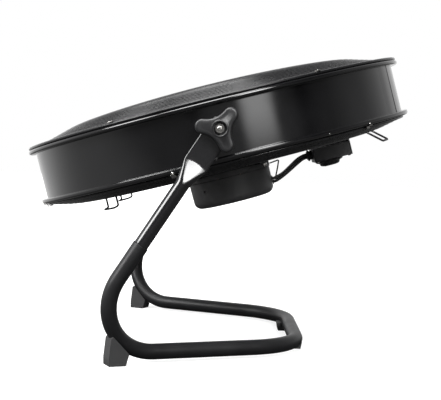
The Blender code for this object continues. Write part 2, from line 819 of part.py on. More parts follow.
def make_fan(drum):
    """Pressed three-blade sheet on a hub that a set screw holds to the shaft."""
    reach = BLADE_REACH
    across = 6
    radii = [13 * MM, 36 * MM, BLADE_DISC]
    blade_radii = [BLADE_DISC + (BLADE_TIP - BLADE_DISC) * i / 8 for i in range(9)]

    def sheet(work):
        grid = {}

        def vertex(radius, angle, height):
            key = (round(radius, 6), round(math.degrees(angle) % 360, 3))
            if key not in grid:
                at = (radius * math.cos(angle), radius * math.sin(angle), height)
                grid[key] = work.verts.new(at)
            return grid[key]

        def face(corners):
            work.faces.new([vertex(*corner) for corner in corners])

        for blade in range(BLADE_COUNT):
            middle = math.radians(25) + math.tau * blade / BLADE_COUNT
            angles = [middle - reach + 2 * reach * i / across for i in range(across + 1)]
            gap_end = middle - reach + math.tau / BLADE_COUNT
            ring_angles = angles + [gap_end - math.radians(14), gap_end]
            for inner, outer in zip(radii, radii[1:]):
                for a, b in zip(ring_angles, ring_angles[1:]):
                    face([(inner, a, 0), (outer, a, 0), (outer, b, 0), (inner, b, 0)])
            for inner, outer in zip(blade_radii, blade_radii[1:]):
                for a, b in zip(angles, angles[1:]):
                    face([
                        (radius, angle, blade_height(radius, angle - middle))
                        for radius, angle in ((inner, a), (outer, a), (outer, b), (inner, b))
                    ])

    blades = mesh_object("fan_blades", sheet)
    wall = blades.modifiers.new("sheet", "SOLIDIFY")
    wall.thickness = BLADE_SHEET
    wall.offset = 0
    blades.location = (0, 0, BLADE_HEIGHT)
    place(blades, ALUMINIUM, drum)

    flange = BLADE_HEIGHT - BLADE_SHEET / 2 - GAP
    hub = turned("fan_hub", [
        (34 * MM, flange),
        (34 * MM, flange - 4 * MM),
        (15 * MM, flange - 6 * MM),
        (15 * MM, flange - 34 * MM),
        (SHAFT_BORE, flange - 34 * MM),
        (SHAFT_BORE, flange),
    ])
    screw_height = flange - 24 * MM
    radial = empty("set_screw_axis", (0, 0, screw_height), (0, math.radians(90), 0))
    radial.parent = drum
    cut(hub, rod("set_screw_hole", 3.1 * MM, 3 * MM, 18 * MM, sides=12), radial)
    place(hub, ALUMINIUM, drum)
    place(rod("hub_set_screw", 2.6 * MM, 6.5 * MM, 15.5 * MM, sides=12), ZINC, radial)


# Control box


def make_control_box(drum):
    lid_top, lid_bottom = BOX_LID
    half = BOX_HALF_WIDTH
    wall = BOX_WALL
    top = lid_bottom - GAP
    box = block("switch_box", (BOX_NEAR, -half, BOX_END), (BOX_FAR, half, top))
    hollow = block(
        "switch_box_hollow",
        (BOX_NEAR + wall, -half + wall, BOX_END + wall),
        (BOX_FAR - wall, half - wall, top + 1 * MM),
    )
    inlet_axis = empty("inlet_axis", (198 * MM, 0, GLAND_HEIGHT), (math.radians(-90), 0, 0))
    inlet_axis.parent = drum
    join(box, rod("mains_inlet", 8 * MM, half - 1 * MM, half + 9 * MM), inlet_axis)
    cut(box, hollow, drum)
    cut(box, rod("mains_inlet_hole", 4.5 * MM, half - 6 * MM, half + 12 * MM), inlet_axis)
    cutter = rod("switch_shaft_hole", 4.5 * MM, BOX_END - 1 * MM, BOX_END + 4 * MM)
    cutter.location = (SPEED_KNOB_AT, 0, 0)
    cut(box, cutter, drum)
    gland_axis = empty("gland_axis", (BOX_NEAR, 0, GLAND_HEIGHT), (0, math.radians(-90), 0))
    gland_axis.parent = drum
    cut(box, rod("gland_hole", 6.4 * MM, -6 * MM, 3 * MM), gland_axis)
    place(box, BLACK_PLASTIC, drum)

    lid = block("switch_box_lid", (BOX_NEAR, -half, lid_bottom), (BOX_FAR, half, lid_top))
    place(lid, BLACK_PLASTIC, drum)

    gland = turned("lead_gland", [
        (5.2 * MM, 14.6 * MM),
        (7.4 * MM, 12.5 * MM),
        (8.2 * MM, GAP),
        (6.0 * MM, GAP),
        (6.0 * MM, -5 * MM),
        (4.4 * MM, -5 * MM),
        (4.4 * MM, 14.6 * MM),
    ], steps=16)
    place(gland, BLACK_PLASTIC, gland_axis)

    at = Vector((SPEED_KNOB_AT, 0, 0))
    size = 13 * MM
    switch = block(
        "rotary_switch",
        at + Vector((-size, -size, BOX_END + wall + GAP)),
        at + Vector((size, size, BOX_END + 17 * MM)),
    )
    shaft = rod("switch_shaft", 3 * MM, SPEED_KNOB_END + 3 * MM, BOX_END + 4 * MM, sides=12)
    shaft.location = at
    join(switch, shaft, drum)
    place(switch, NYLON, drum)

    knob = turned("speed_knob", [
        (SPEED_KNOB_RADIUS, BOX_END - GAP),
        (SPEED_KNOB_RADIUS, BOX_END - 4.5 * MM),
        (15 * MM, BOX_END - 6 * MM),
        (14 * MM, SPEED_KNOB_END + 1 * MM),
        (12.5 * MM, SPEED_KNOB_END),
        (0, SPEED_KNOB_END),
    ], steps=24)
    bore = rod("speed_knob_bore", 3.4 * MM, SPEED_KNOB_END + 2 * MM, BOX_END + 2 * MM, sides=12)
    close_chain(knob, BOX_END - GAP)
    bore.location = at
    cut(knob, bore, drum)
    knob.location = at
    place(knob, BLACK_PLASTIC, drum)

    capacitor = block(
        "run_capacitor",
        (198.5 * MM, -28 * MM, BOX_END + wall + GAP),
        (BOX_FAR - wall - GAP, 28 * MM, BOX_END + 18 * MM),
    )
    place(capacitor, NYLON, drum)

    lead = tube_curve("motor_lead", smooth_route([
        (MOTOR_RADIUS + 1 * MM, -111.5 * MM),
        (82 * MM, -112.5 * MM),
        (95 * MM, -109.5 * MM),
        (110 * MM, -101.5 * MM),
        (125 * MM, -90.5 * MM),
        (137 * MM, -83 * MM),
        (146 * MM, GLAND_HEIGHT),
    ]), LEAD_RADIUS)
    place(as_mesh(lead), BLACK_RUBBER, drum)

    clip = tube_curve("lead_clip", [
        (MOTOR_RADIUS + 2.6 * MM, 0, -78 * MM),
        (94 * MM, 0, -76 * MM),
        (89 * MM, 0, -88 * MM),
        (81 * MM, 0, -106.5 * MM),
    ], 1 * MM, resolution=0)
    place(as_mesh(clip), BLACK_WIRE, drum)


def close_chain(obj, height):
    """Take a turned profile on to the axis at its top, so that it encloses a solid."""
    mesh = obj.data
    points = [tuple(v.co) for v in mesh.vertices]
    points = [(0, 0, height)] + points
    edges = [(i, i + 1) for i in range(len(points) - 1)]
    mesh.clear_geometry()
    mesh.from_pydata(points, edges, [])


def smooth_route(points, steps=4):
    """Catmull-Rom curve through (x, z) points on the drum's middle plane."""
    knots = [Vector((x, 0, z)) for x, z in points]
    knots = [2 * knots[0] - knots[1]] + knots + [2 * knots[-1] - knots[-2]]
    route = []
    for a, b, c, d in zip(knots, knots[1:], knots[2:], knots[3:]):
        for i in range(steps):
            t = i / steps
            route.append(0.5 * (
                2 * b + (c - a) * t + (2 * a - 5 * b + 4 * c - d) * t**2
                + (3 * b - a - 3 * c + d) * t**3
            ))
    return route + [knots[-2]]


def main():
    base, path, arcs = make_base_tube()
    make_feet(base, path, arcs)
    for side_name, side in SIDES:
        arm = make_arm(side_name, side)
        make_arm_screw(side_name, side, base, arm)

    drum = empty("drum_axis", (0, 0, PIVOT_HEIGHT), (0, -TILT, 0))
    shell = make_shell(drum)
    for side_name, side in SIDES:
        make_clamp(side_name, side, shell)
    make_grille("front_grille", FRONT_DOME, -1.3 * MM, drum)
    make_grille("rear_grille", REAR_DISH, 1.3 * MM, drum)
    for i in range(CLIPS):
        turn = 360 * i / CLIPS
        make_clip(f"front_clip_{i + 1}", FIRST_FRONT_CLIP + turn, FRONT_RIM, FRONT_DOME, 1, drum)
        make_clip(f"rear_clip_{i + 1}", FIRST_REAR_CLIP + turn, REAR_RIM, REAR_DISH, -1, drum)
    upright = ((256 * MM, -69 * MM), (256 * MM, -81 * MM), (265 * MM, -83 * MM))
    sloping = ((286 * MM, -67 * MM), (304 * MM, -82 * MM), (308 * MM, -85.5 * MM))
    make_hook("cord_hook_left", -HOOK_ANGLE, upright, drum)
    make_hook("cord_hook_right", HOOK_ANGLE, upright, drum)
    make_hook("cord_hook_front", SLOPING_HOOK_ANGLE, sloping, drum)
    make_motor(drum)
    make_fan(drum)
    make_control_box(drum)


main()
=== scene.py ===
"""Looks of the axial air mover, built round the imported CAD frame.

Shapes are lists of vertices and faces. Those of the drum are made in the drum's own space,
whose +Z is the outlet and whose origin is on the tilt axis, and DRUM takes them to the row
frame. Lengths are in metres, and MM is one millimetre."""

import json
import math

import bmesh
import bpy
from mathutils import Matrix, Vector

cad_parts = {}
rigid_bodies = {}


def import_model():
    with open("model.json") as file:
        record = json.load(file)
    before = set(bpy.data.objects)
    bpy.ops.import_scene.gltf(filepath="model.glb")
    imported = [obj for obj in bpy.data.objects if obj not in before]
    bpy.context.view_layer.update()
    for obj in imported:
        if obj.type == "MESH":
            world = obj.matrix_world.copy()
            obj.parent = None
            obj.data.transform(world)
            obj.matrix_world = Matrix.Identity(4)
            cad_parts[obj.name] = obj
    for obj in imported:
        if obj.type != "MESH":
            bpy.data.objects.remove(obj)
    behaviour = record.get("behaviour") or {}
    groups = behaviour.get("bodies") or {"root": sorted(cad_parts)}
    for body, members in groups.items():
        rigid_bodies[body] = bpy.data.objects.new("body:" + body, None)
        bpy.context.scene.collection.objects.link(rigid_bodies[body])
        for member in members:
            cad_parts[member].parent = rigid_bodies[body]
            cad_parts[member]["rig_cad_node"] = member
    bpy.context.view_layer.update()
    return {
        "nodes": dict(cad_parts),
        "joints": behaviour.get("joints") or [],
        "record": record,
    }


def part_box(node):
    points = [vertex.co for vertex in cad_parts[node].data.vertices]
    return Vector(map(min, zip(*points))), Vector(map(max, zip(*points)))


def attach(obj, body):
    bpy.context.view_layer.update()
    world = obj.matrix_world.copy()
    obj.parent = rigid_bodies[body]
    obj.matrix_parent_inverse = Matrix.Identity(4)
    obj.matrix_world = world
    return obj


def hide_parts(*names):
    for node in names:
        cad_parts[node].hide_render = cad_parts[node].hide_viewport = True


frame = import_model()

MM = 0.001
JOINTS = {joint["name"]: joint for joint in frame["joints"]}
PIVOT = Vector(JOINTS["drum_tilt"]["pos_m"])
FAN_AXIS = Vector(JOINTS["fan_spin"]["axis"])
TILT = math.atan2(-FAN_AXIS.x, FAN_AXIS.z)
DRUM = Matrix.Translation(PIVOT) @ Matrix.Rotation(-TILT, 4, "Y")
SIDES = (("left", -1), ("right", 1))


def mm(values):
    """Numbers, and lists of them, from millimetres to metres."""
    if isinstance(values, (list, tuple)):
        return type(values)(mm(value) for value in values)
    return values * MM


def rotation(degrees, axis):
    return Matrix.Rotation(math.radians(degrees), 4, axis)


# Shapes


def bands(rings, sides, closed=False):
    """Faces between rings of points, which are listed one ring after the other."""
    faces = []
    for i in range(rings if closed else rings - 1):
        j = (i + 1) % rings
        for k in range(sides):
            m = (k + 1) % sides
            faces.append((i * sides + k, i * sides + m, j * sides + m, j * sides + k))
    return faces


def lids(count, sides):
    """Faces that close the first and the last ring of count points."""
    return [tuple(range(sides))[::-1], tuple(range(count - sides, count))]


def merged(shapes):
    verts, faces = [], []
    for shape_verts, shape_faces in shapes:
        offset = len(verts)
        verts += shape_verts
        faces += [tuple(i + offset for i in face) for face in shape_faces]
    return verts, faces


def moved(shape, matrix):
    return [matrix @ Vector(v) for v in shape[0]], shape[1]


def rounded(corners, radii, steps=4, closed=True, share=0.48):
    """Corners of a flat outline or a route in space, each replaced by an arc."""
    if isinstance(radii, (int, float)):
        radii = [radii] * len(corners)
    corners = [Vector(c) for c in corners]
    count = len(corners)
    points = []
    for i, (corner, radius) in enumerate(zip(corners, radii)):
        if radius <= 0 or (not closed and i in (0, count - 1)):
            points.append(corner.copy())
            continue
        back = corners[i - 1] - corner
        ahead = corners[(i + 1) % count] - corner
        half = back.angle(ahead) / 2
        if half > math.pi / 2 - 0.01:
            points.append(corner.copy())
            continue
        reach = min(radius / math.tan(half), share * back.length, share * ahead.length)
        back.normalize()
        ahead.normalize()
        start, end = corner + back * reach, corner + ahead * reach
        centre = corner + (back + ahead).normalized() * (reach / math.cos(half))
        a, b = start - centre, end - centre
        turn = a.angle(b)
        for k in range(steps + 1):
            t = k / steps
            points.append(
                centre + (a * math.sin((1 - t) * turn) + b * math.sin(t * turn)) / math.sin(turn)
            )
    return points


def smooth(knots, steps=6):
    """Catmull-Rom curve through points."""
    knots = [Vector(k) for k in knots]
    knots = [2 * knots[0] - knots[1]] + knots + [2 * knots[-1] - knots[-2]]
    route = []
    for a, b, c, d in zip(knots, knots[1:], knots[2:], knots[3:]):
        for i in range(steps):
            t = i / steps
            route.append(0.5 * (
                2 * b + (c - a) * t + (2 * a - 5 * b + 4 * c - d) * t**2
                + (3 * b - a - 3 * c + d) * t**3
            ))
    return route + [knots[-2]]


def frames_along(points, closed=False):
    """A direction and two crosswise axes at each point, which turn as little as they can."""
    count = len(points)
    directions = []
    for i in range(count):
        before = points[i - 1] if i or closed else points[0]
        after = points[(i + 1) % count] if i < count - 1 or closed else points[-1]
        directions.append((after - before).normalized())
    up = Vector((0, 0, 1)) if abs(directions[0].z) < 0.9 else Vector((1, 0, 0))
    across = directions[0].cross(up).normalized()
    result = []
    for direction in directions:
        across = (across - direction * across.dot(direction)).normalized()
        result.append((direction, across, direction.cross(across)))
    return result


def wire(points, radius, sides=8, closed=False, domed=True):
    """Round bar along points. Its ends are slightly domed."""
    points = [Vector(p) for p in points]
    axes = frames_along(points, closed)
    rings = [(p, a, b, radius) for p, (_, a, b) in zip(points, axes)]
    if domed and not closed:
        for end, sign in ((0, -1), (-1, 1)):
            direction, a, b = axes[end]
            tip = points[end] + direction * sign * radius * 0.35
            rings.insert(0 if end == 0 else len(rings), (tip, a, b, radius * 0.7))
    verts = []
    for point, a, b, size in rings:
        for i in range(sides):
            turn = math.tau * i / sides
            verts.append(point + (a * math.cos(turn) + b * math.sin(turn)) * size)
    faces = bands(len(rings), sides, closed)
    if not closed:
        faces += lids(len(verts), sides)
    return verts, faces


def lathe(profile, steps=64):
    """Profile of (radius, height) turned about Z, closed on itself unless it meets the axis."""
    verts, faces = [], []
    profile = [(p[0], p[1]) for p in profile]
    on_axis = [radius < 1e-6 for radius, _ in profile]
    starts = []
    for (radius, height), single in zip(profile, on_axis):
        starts.append(len(verts))
        for i in range(1 if single else steps):
            turn = math.tau * i / steps
            verts.append(Vector((radius * math.cos(turn), radius * math.sin(turn), height)))
    count = len(profile)
    for i in range(count if not any(on_axis) else count - 1):
        j = (i + 1) % count
        for k in range(steps):
            m = (k + 1) % steps
            a, b = starts[i], starts[j]
            if on_axis[i]:
                faces.append((a, b + k, b + m))
            elif on_axis[j]:
                faces.append((a + k, b, a + m))
            else:
                faces.append((a + k, b + k, b + m, a + m))
    return verts, faces


def prism(outline, low, high):
    """Flat outline of (x, y) points between two heights."""
    count = len(outline)
    verts = [Vector((p[0], p[1], z)) for z in (low, high) for p in outline]
    faces = [(i, (i + 1) % count, count + (i + 1) % count, count + i) for i in range(count)]
    faces.append(tuple(range(count))[::-1])
    faces.append(tuple(range(count, 2 * count)))
    return verts, faces


def circle(radius, steps, turn=0.0):
    return [
        Vector((
            radius * math.cos(math.tau * i / steps + turn),
            radius * math.sin(math.tau * i / steps + turn),
        ))
        for i in range(steps)
    ]


def on_drum(radius, degrees, height, sideways=0.0):
    turn = math.radians(degrees)
    return Vector((
        radius * math.cos(turn) - sideways * math.sin(turn),
        radius * math.sin(turn) + sideways * math.cos(turn),
        height,
    ))


def facing_out(degrees, radius, height):
    """Matrix that takes local +Z to the drum's radial direction, at that place on it."""
    turn = rotation(degrees, "Z")
    return Matrix.Translation(on_drum(radius, degrees, height)) @ turn @ rotation(90, "Y")


# Materials


def fill(tree, made, inputs):
    """Links the inputs that are given as sockets, and sets the others to their values."""
    for key, value in inputs.items():
        if isinstance(value, bpy.types.NodeSocket):
            tree.links.new(value, made.inputs[key])
        else:
            made.inputs[key].default_value = value


def node(tree, kind, inputs=None, **values):
    made = tree.nodes.new(kind)
    for key, value in values.items():
        setattr(made, key, value)
    fill(tree, made, inputs or {})
    return made


def ramp(tree, value, low, high, most, interpolation="LINEAR"):
    """Value from between low and high, taken to between none and most."""
    return node(tree, "ShaderNodeMapRange", {
        "Value": value, "From Min": low, "From Max": high, "To Max": most,
    }, interpolation_type=interpolation).outputs["Result"]


def maths(tree, operation, a, b):
    return node(tree, "ShaderNodeMath", {0: a, 1: b}, operation=operation).outputs[0]


def finish(name, colour, roughness, metallic=0.0, grain=900, bump=0.05, spread=0.06,
           tint=0.25, brushed=None, specular=0.5):
    """Procedural surface: a fine grain in the bump, and slow changes in colour and gloss.

    grain is in cells per metre. brushed stretches the grain along one axis."""
    material = bpy.data.materials.new(name)
    material.use_nodes = True
    tree = material.node_tree
    place = node(tree, "ShaderNodeTexCoord").outputs["Object"]
    stretched = place
    if brushed:
        stretched = node(
            tree, "ShaderNodeMapping", {"Vector": place, "Scale": brushed},
        ).outputs["Vector"]
    fine = node(tree, "ShaderNodeTexNoise", {"Vector": stretched, "Scale": grain, "Detail": 3.0})
    slow = node(tree, "ShaderNodeTexNoise", {"Vector": place, "Scale": 14, "Detail": 4.0})
    gloss = node(tree, "ShaderNodeMapRange", {
        "Value": slow.outputs["Fac"], "From Min": 0.3, "From Max": 0.7,
        "To Min": roughness - spread, "To Max": roughness + spread,
    })
    tones = node(tree, "ShaderNodeValToRGB", {"Fac": slow.outputs["Fac"]})
    for i, (position, share) in enumerate(((0.3, 1 - tint), (0.7, 1 + tint))):
        tones.color_ramp.elements[i].position = position
        tones.color_ramp.elements[i].color = (*[c * share for c in colour], 1)
    relief = node(tree, "ShaderNodeBump", {
        "Height": fine.outputs["Fac"], "Strength": bump, "Distance": 0.0004,
    })
    fill(tree, tree.nodes["Principled BSDF"], {
        "Base Color": tones.outputs["Color"],
        "Metallic": metallic,
        "Roughness": gloss.outputs["Result"],
        "Specular IOR Level": specular,
        "Normal": relief.outputs["Normal"],
    })
    return material


PAINT = finish("satin_black_paint", (0.003, 0.003, 0.0033), 0.11, grain=700, bump=0.02, spread=0.025)
TUBE_PAINT = finish("tube_black_paint", (0.006, 0.006, 0.0065), 0.15, grain=800, bump=0.05)
BASE_PAINT = finish(
    "powder_black_paint", (0.007, 0.007, 0.0075), 0.40, grain=1400, bump=0.16, specular=0.2,
)
WIRE_PAINT = finish(
    "wire_black_paint", (0.004, 0.004, 0.0045), 0.27, grain=500, bump=0.08, specular=0.3,
)
MOTOR_PAINT = finish(
    "motor_black_paint", (0.042, 0.042, 0.043), 0.5, grain=1100, bump=0.1, specular=0.45,
)
PLASTIC = finish(
    "moulded_black_plastic", (0.008, 0.008, 0.0085), 0.34, grain=1800, bump=0.2, specular=0.36,
)
RUBBER = finish("black_rubber", (0.010, 0.010, 0.0105), 0.62, grain=1500, bump=0.35, spread=0.05)
ZINC = finish(
    "bright_zinc", (0.47, 0.46, 0.44), 0.21, metallic=1.0, grain=600, bump=0.12, tint=0.08,
)
# Zinc plate painted darker: painted shade for zinc parts that sit in shade, such as the nut in the clamp
# knob's recess
SHADE_DARKENED_ZINC = finish("zinc_darkened_as_painted_shade", (0.24, 0.235, 0.225), 0.24, metallic=1.0, grain=600, bump=0.12, tint=0.08)
NYLON = finish("black_nylon", (0.03, 0.03, 0.031), 0.5, grain=1500, bump=0.2)
ALUMINIUM = finish(
    "pressed_aluminium", (0.52, 0.53, 0.54), 0.34, metallic=1.0, grain=300, bump=0.15,
    tint=0.06, brushed=(1.0, 12.0, 12.0),
)
LAMINATION = finish(
    "lamination_steel", (0.3, 0.3, 0.31), 0.45, metallic=1.0, grain=200, bump=0.5,
    brushed=(1.0, 1.0, 16.0),
)
COPPER = finish("enamelled_copper", (0.62, 0.25, 0.10), 0.3, metallic=1.0, grain=700, bump=0.6)

CAD_FINISH = {
    "black_paint": PAINT,
    "black_wire": WIRE_PAINT,
    "black_plastic": PLASTIC,
    "black_rubber": RUBBER,
    "zinc_plate": ZINC,
    "nylon": NYLON,
    "aluminium": ALUMINIUM,
    "lamination_steel": LAMINATION,
    "copper": COPPER,
}


# Pieces


def soften(obj, width, segments=2, angle=40, harden=True):
    """Rounds the edges of a piece that turn by more than an angle in degrees."""
    edge = obj.modifiers.new("soft_edges", "BEVEL")
    edge.width = width
    edge.segments = segments
    edge.limit_method = "ANGLE"
    edge.angle_limit = math.radians(angle)
    edge.harden_normals = harden


def piece(name, shape, material, body, slot, stands_for=(), matrix=None, bevel=0.0, angle=38):
    verts, faces = moved(shape, matrix) if matrix is not None else shape
    mesh = bpy.data.meshes.new(name)
    mesh.from_pydata([tuple(v) for v in verts], [], faces)
    work = bmesh.new()
    work.from_mesh(mesh)
    bmesh.ops.remove_doubles(work, verts=work.verts, dist=1e-6)
    bmesh.ops.recalc_face_normals(work, faces=work.faces)
    work.to_mesh(mesh)
    work.free()
    mesh.shade_smooth()
    mesh.set_sharp_from_angle(angle=math.radians(angle))
    mesh.materials.append(material)
    obj = bpy.data.objects.new(name, mesh)
    bpy.context.scene.collection.objects.link(obj)
    if bevel:
        soften(obj, bevel)
    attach(obj, body)
    if stands_for:
        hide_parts(*stands_for)
    return obj


def drum_piece(name, shape, material, slot, stands_for=(), **more):
    return piece(name, shape, material, "drum", slot, stands_for, matrix=DRUM, **more)


def subtract(obj, shapes):
    """Cuts shapes, given in the row frame, out of a piece, and applies the cut."""
    mesh = bpy.data.meshes.new("cutter")
    verts, faces = merged(shapes)
    mesh.from_pydata([tuple(v) for v in verts], [], faces)
    work = bmesh.new()
    work.from_mesh(mesh)
    bmesh.ops.recalc_face_normals(work, faces=work.faces)
    work.to_mesh(mesh)
    work.free()
    cutter = bpy.data.objects.new("cutter", mesh)
    bpy.context.scene.collection.objects.link(cutter)
    boolean = obj.modifiers.new("cut", "BOOLEAN")
    boolean.operation = "DIFFERENCE"
    boolean.solver = "EXACT"
    boolean.object = cutter
    while obj.modifiers[0] != boolean:
        bpy.context.view_layer.objects.active = obj
        obj.modifiers.move(obj.modifiers.find(boolean.name), 0)
    bpy.context.view_layer.update()
    with_cut = bpy.data.meshes.new_from_object(
        cut_only(obj, boolean).evaluated_get(bpy.context.evaluated_depsgraph_get())
    )
    restore(obj)
    obj.modifiers.remove(boolean)
    obj.data = with_cut
    obj.data.shade_smooth()
    obj.data.set_sharp_from_angle(angle=math.radians(38))
    bpy.data.objects.remove(cutter, do_unlink=True)


def cut_only(obj, keep):
    for modifier in obj.modifiers:
        modifier.show_viewport = modifier == keep
    bpy.context.view_layer.update()
    return obj


def restore(obj):
    for modifier in obj.modifiers:
        modifier.show_viewport = True


# Drum shell and grilles

SHELL_RADIUS = 324.8 * MM
SHELL_INNER = 323.3 * MM
FRONT_BEAD_RADIUS = 337.3 * MM
REAR_BEAD_RADIUS = 335.5 * MM
FRONT_EDGE = (38.0 * MM, 45.6 * MM)
REAR_EDGE = (-42.6 * MM, -50.5 * MM)
WIRE = 1.6 * MM
FRONT_RIM_WIRE = 2.6 * MM
REAR_RIM_WIRE = 2.1 * MM
# Centre lines of the wires, as (radius, height) in millimetres
FRONT_DOME = (
    (0, 82.3), (60, 81.0), (110, 79.1), (160, 76.5), (210, 72.5), (250, 67.2), (285, 57.6),
    (310, 51.0), (333, 48.2),
)
REAR_DISH = (
    (0, -66.8), (100, -66.5), (200, -66.0), (256, -64.6), (284, -61.4), (305, -57.0),
    (324.5, -52.6),
)
RIM_SCREW_HEIGHT = -48.4 * MM
SPOKE_COUNT = 18
SPOKE_START = 33
RING_PITCH = 8.6 * MM


def height_at(profile, radius):
    """Smooth height of a dish at a radius, from the points of its profile."""
    r = radius / MM
    slopes = []
    for i in range(len(profile)):
        a, b = profile[max(i - 1, 0)], profile[min(i + 1, len(profile) - 1)]
        slopes.append((b[1] - a[1]) / (b[0] - a[0]))
    slopes[0] = 0.0
    for i in range(len(profile) - 1):
        (r0, z0), (r1, z1) = profile[i], profile[i + 1]
        if r <= r1 or i == len(profile) - 2:
            span = r1 - r0
            t = (r - r0) / span
            return MM * (
                (2 * t**3 - 3 * t**2 + 1) * z0 + (t**3 - 2 * t**2 + t) * span * slopes[i]
                + (3 * t**2 - 2 * t**3) * z1 + (t**3 - t**2) * span * slopes[i + 1]
            )


def ring_points(radius, height, steps):
    return [on_drum(radius, 360 * i / steps, height) for i in range(steps)]


def make_shell():
    bead_inner = SHELL_INNER + 0.2 * MM
    corners = [
        (bead_inner, FRONT_EDGE[1]),
        (FRONT_BEAD_RADIUS, FRONT_EDGE[1]),
        (FRONT_BEAD_RADIUS, FRONT_EDGE[0]),
        (SHELL_RADIUS, FRONT_EDGE[0]),
        (SHELL_RADIUS, FRONT_EDGE[0] - 2 * MM),
        (SHELL_RADIUS, REAR_EDGE[0] + 2 * MM),
        (SHELL_RADIUS, REAR_EDGE[0]),
        (REAR_BEAD_RADIUS, REAR_EDGE[0]),
        (REAR_BEAD_RADIUS, REAR_EDGE[1]),
        (bead_inner, REAR_EDGE[1]),
        (SHELL_INNER, REAR_EDGE[1] + 2.2 * MM),
        (SHELL_INNER, FRONT_EDGE[1] - 2.2 * MM),
    ]
    radii = [r * MM for r in (1.6, 3.6, 3.6, 0.8, 0, 0, 0.8, 1.7, 3.6, 1.6, 1, 1)]
    profile = rounded([(r, z) for r, z in corners], radii, steps=6)
    shell = lathe(profile, 320)
    return drum_piece("shell", shell, PAINT, "black_paint", ["drum_shell"])


def make_grille(name, profile, inside, inner_radius, rim_wire, stands_for):
    outer = profile[-1][0] * MM
    count = round((outer - inner_radius) / RING_PITCH)
    shapes = []
    for i in range(count + 1):
        radius = inner_radius + (outer - inner_radius) * i / count
        size = rim_wire if i == count else WIRE
        steps = max(28, round(150 * radius / outer / 2) * 2)
        shapes.append(wire(
            ring_points(radius, height_at(profile, radius), steps), size, sides=8, closed=True,
        ))
    offset = inside * 2.6 * MM
    for i in range(SPOKE_COUNT):
        angle = SPOKE_START + 360 * i / SPOKE_COUNT
        radii = [inner_radius + (outer - 3 * MM - inner_radius) * k / 22 for k in range(23)]
        line = [on_drum(r, angle, height_at(profile, r) + offset) for r in radii]
        line.append(on_drum(outer - 0.4 * MM, angle, profile[-1][1] * MM + offset * 0.75))
        shapes.append(wire(line, 1.7 * MM, sides=8))
    return drum_piece(name, merged(shapes), WIRE_PAINT, "black_wire", [stands_for], angle=60)


def make_lap():
    """Outer end of the shell's sheet, lapped over its start and welded there."""
    # (degrees, rise in millimetres): a shallow joggle, a gap, and the lapped sheet
    profile = (
        (-30, 0.05), (-29, 0.14), (-28, 0.33), (-27, 0.45), (-25, 0.5), (-22.7, 0.52),
        (-22.6, 0.05), (-21.9, 0.05), (-21.8, 0.9), (-19, 0.95), (-16, 0.95), (-13, 0.95),
        (-10, 0.95), (-7, 0.9), (-6.9, 0.05),
    )
    outline = [on_drum(SHELL_RADIUS + rise * MM, turn, 0) for turn, rise in profile]
    outline += [on_drum(SHELL_RADIUS - 0.3 * MM, turn, 0) for turn, _ in reversed(profile)]
    lap = prism(outline, REAR_EDGE[0] - 0.6 * MM, FRONT_EDGE[0] + 0.6 * MM)
    drum_piece("shell_lap", lap, PAINT, "black_paint")


def make_front_cap():
    """Pressed disc in the middle of the front grille."""
    top = 84.4 * MM
    profile = rounded(
        [(0, top), (33 * MM, top - 0.6 * MM), (41 * MM, top - 3.4 * MM), (41.5 * MM, top - 5.0 * MM),
         (39 * MM, top - 5.0 * MM), (32 * MM, top - 2.0 * MM), (0, top - 1.4 * MM)],
        mm([0, 6, 0.8, 0.3, 0.3, 5, 0]), steps=4, closed=False,
    )
    drum_piece("front_grille_cap", lathe(profile, 72), PAINT, "black_paint")


# Clips, screws and hooks


def pan_head(radius):
    """Raised pan head, and the cross-shaped recess to cut from it."""
    profile = rounded(
        [(0, radius * 0.62), (radius * 0.55, radius * 0.6), (radius, radius * 0.28), (radius, 0),
         (0, 0)],
        [0, radius * 0.5, radius * 0.15, radius * 0.06, 0], steps=4, closed=False,
    )
    head = lathe(profile, 28)
    long, thin = radius * 0.62, radius * 0.13
    corners = [(long, -thin), (long, thin), (thin, thin)]
    cross = []
    for i in range(4):
        quarter = Matrix.Rotation(math.radians(20 + 90 * i), 2)
        cross += [quarter @ Vector(c) for c in corners]
    return head, prism(cross, radius * 0.36, radius * 0.9)


def screw(name, matrix, radius, body, slot="zinc_plate", material=None, stands_for=()):
    head, recess = pan_head(radius)
    obj = piece(name, head, material or ZINC, body, slot, stands_for, matrix=matrix)
    subtract(obj, [moved(recess, matrix)])


def hex_head(name, matrix, across_flats, height, body, stands_for=(), material=None):
    """Hexagon head or nut with turned corners and a washer face."""
    reach = across_flats / math.sqrt(3)
    rings = [
        (0.90, height), (1.0, height * 0.86), (1.0, height * 0.12), (0.94, 0),
    ]
    verts = []
    for share, z in rings:
        for i in range(24):
            turn = math.tau * i / 24
            side = (turn + math.pi / 6) % (math.pi / 3) - math.pi / 6
            flat = across_flats / 2 / math.cos(side)
            size = flat if share == 1.0 else min(flat, reach * share)
            verts.append(Vector((size * math.cos(turn), size * math.sin(turn), z)))
    faces = bands(len(rings), 24) + [tuple(range(24)), tuple(range(72, 96))]
    return piece(
        name, (verts, faces), material or ZINC, body, "zinc_plate", stands_for, matrix=matrix, angle=25,
    )


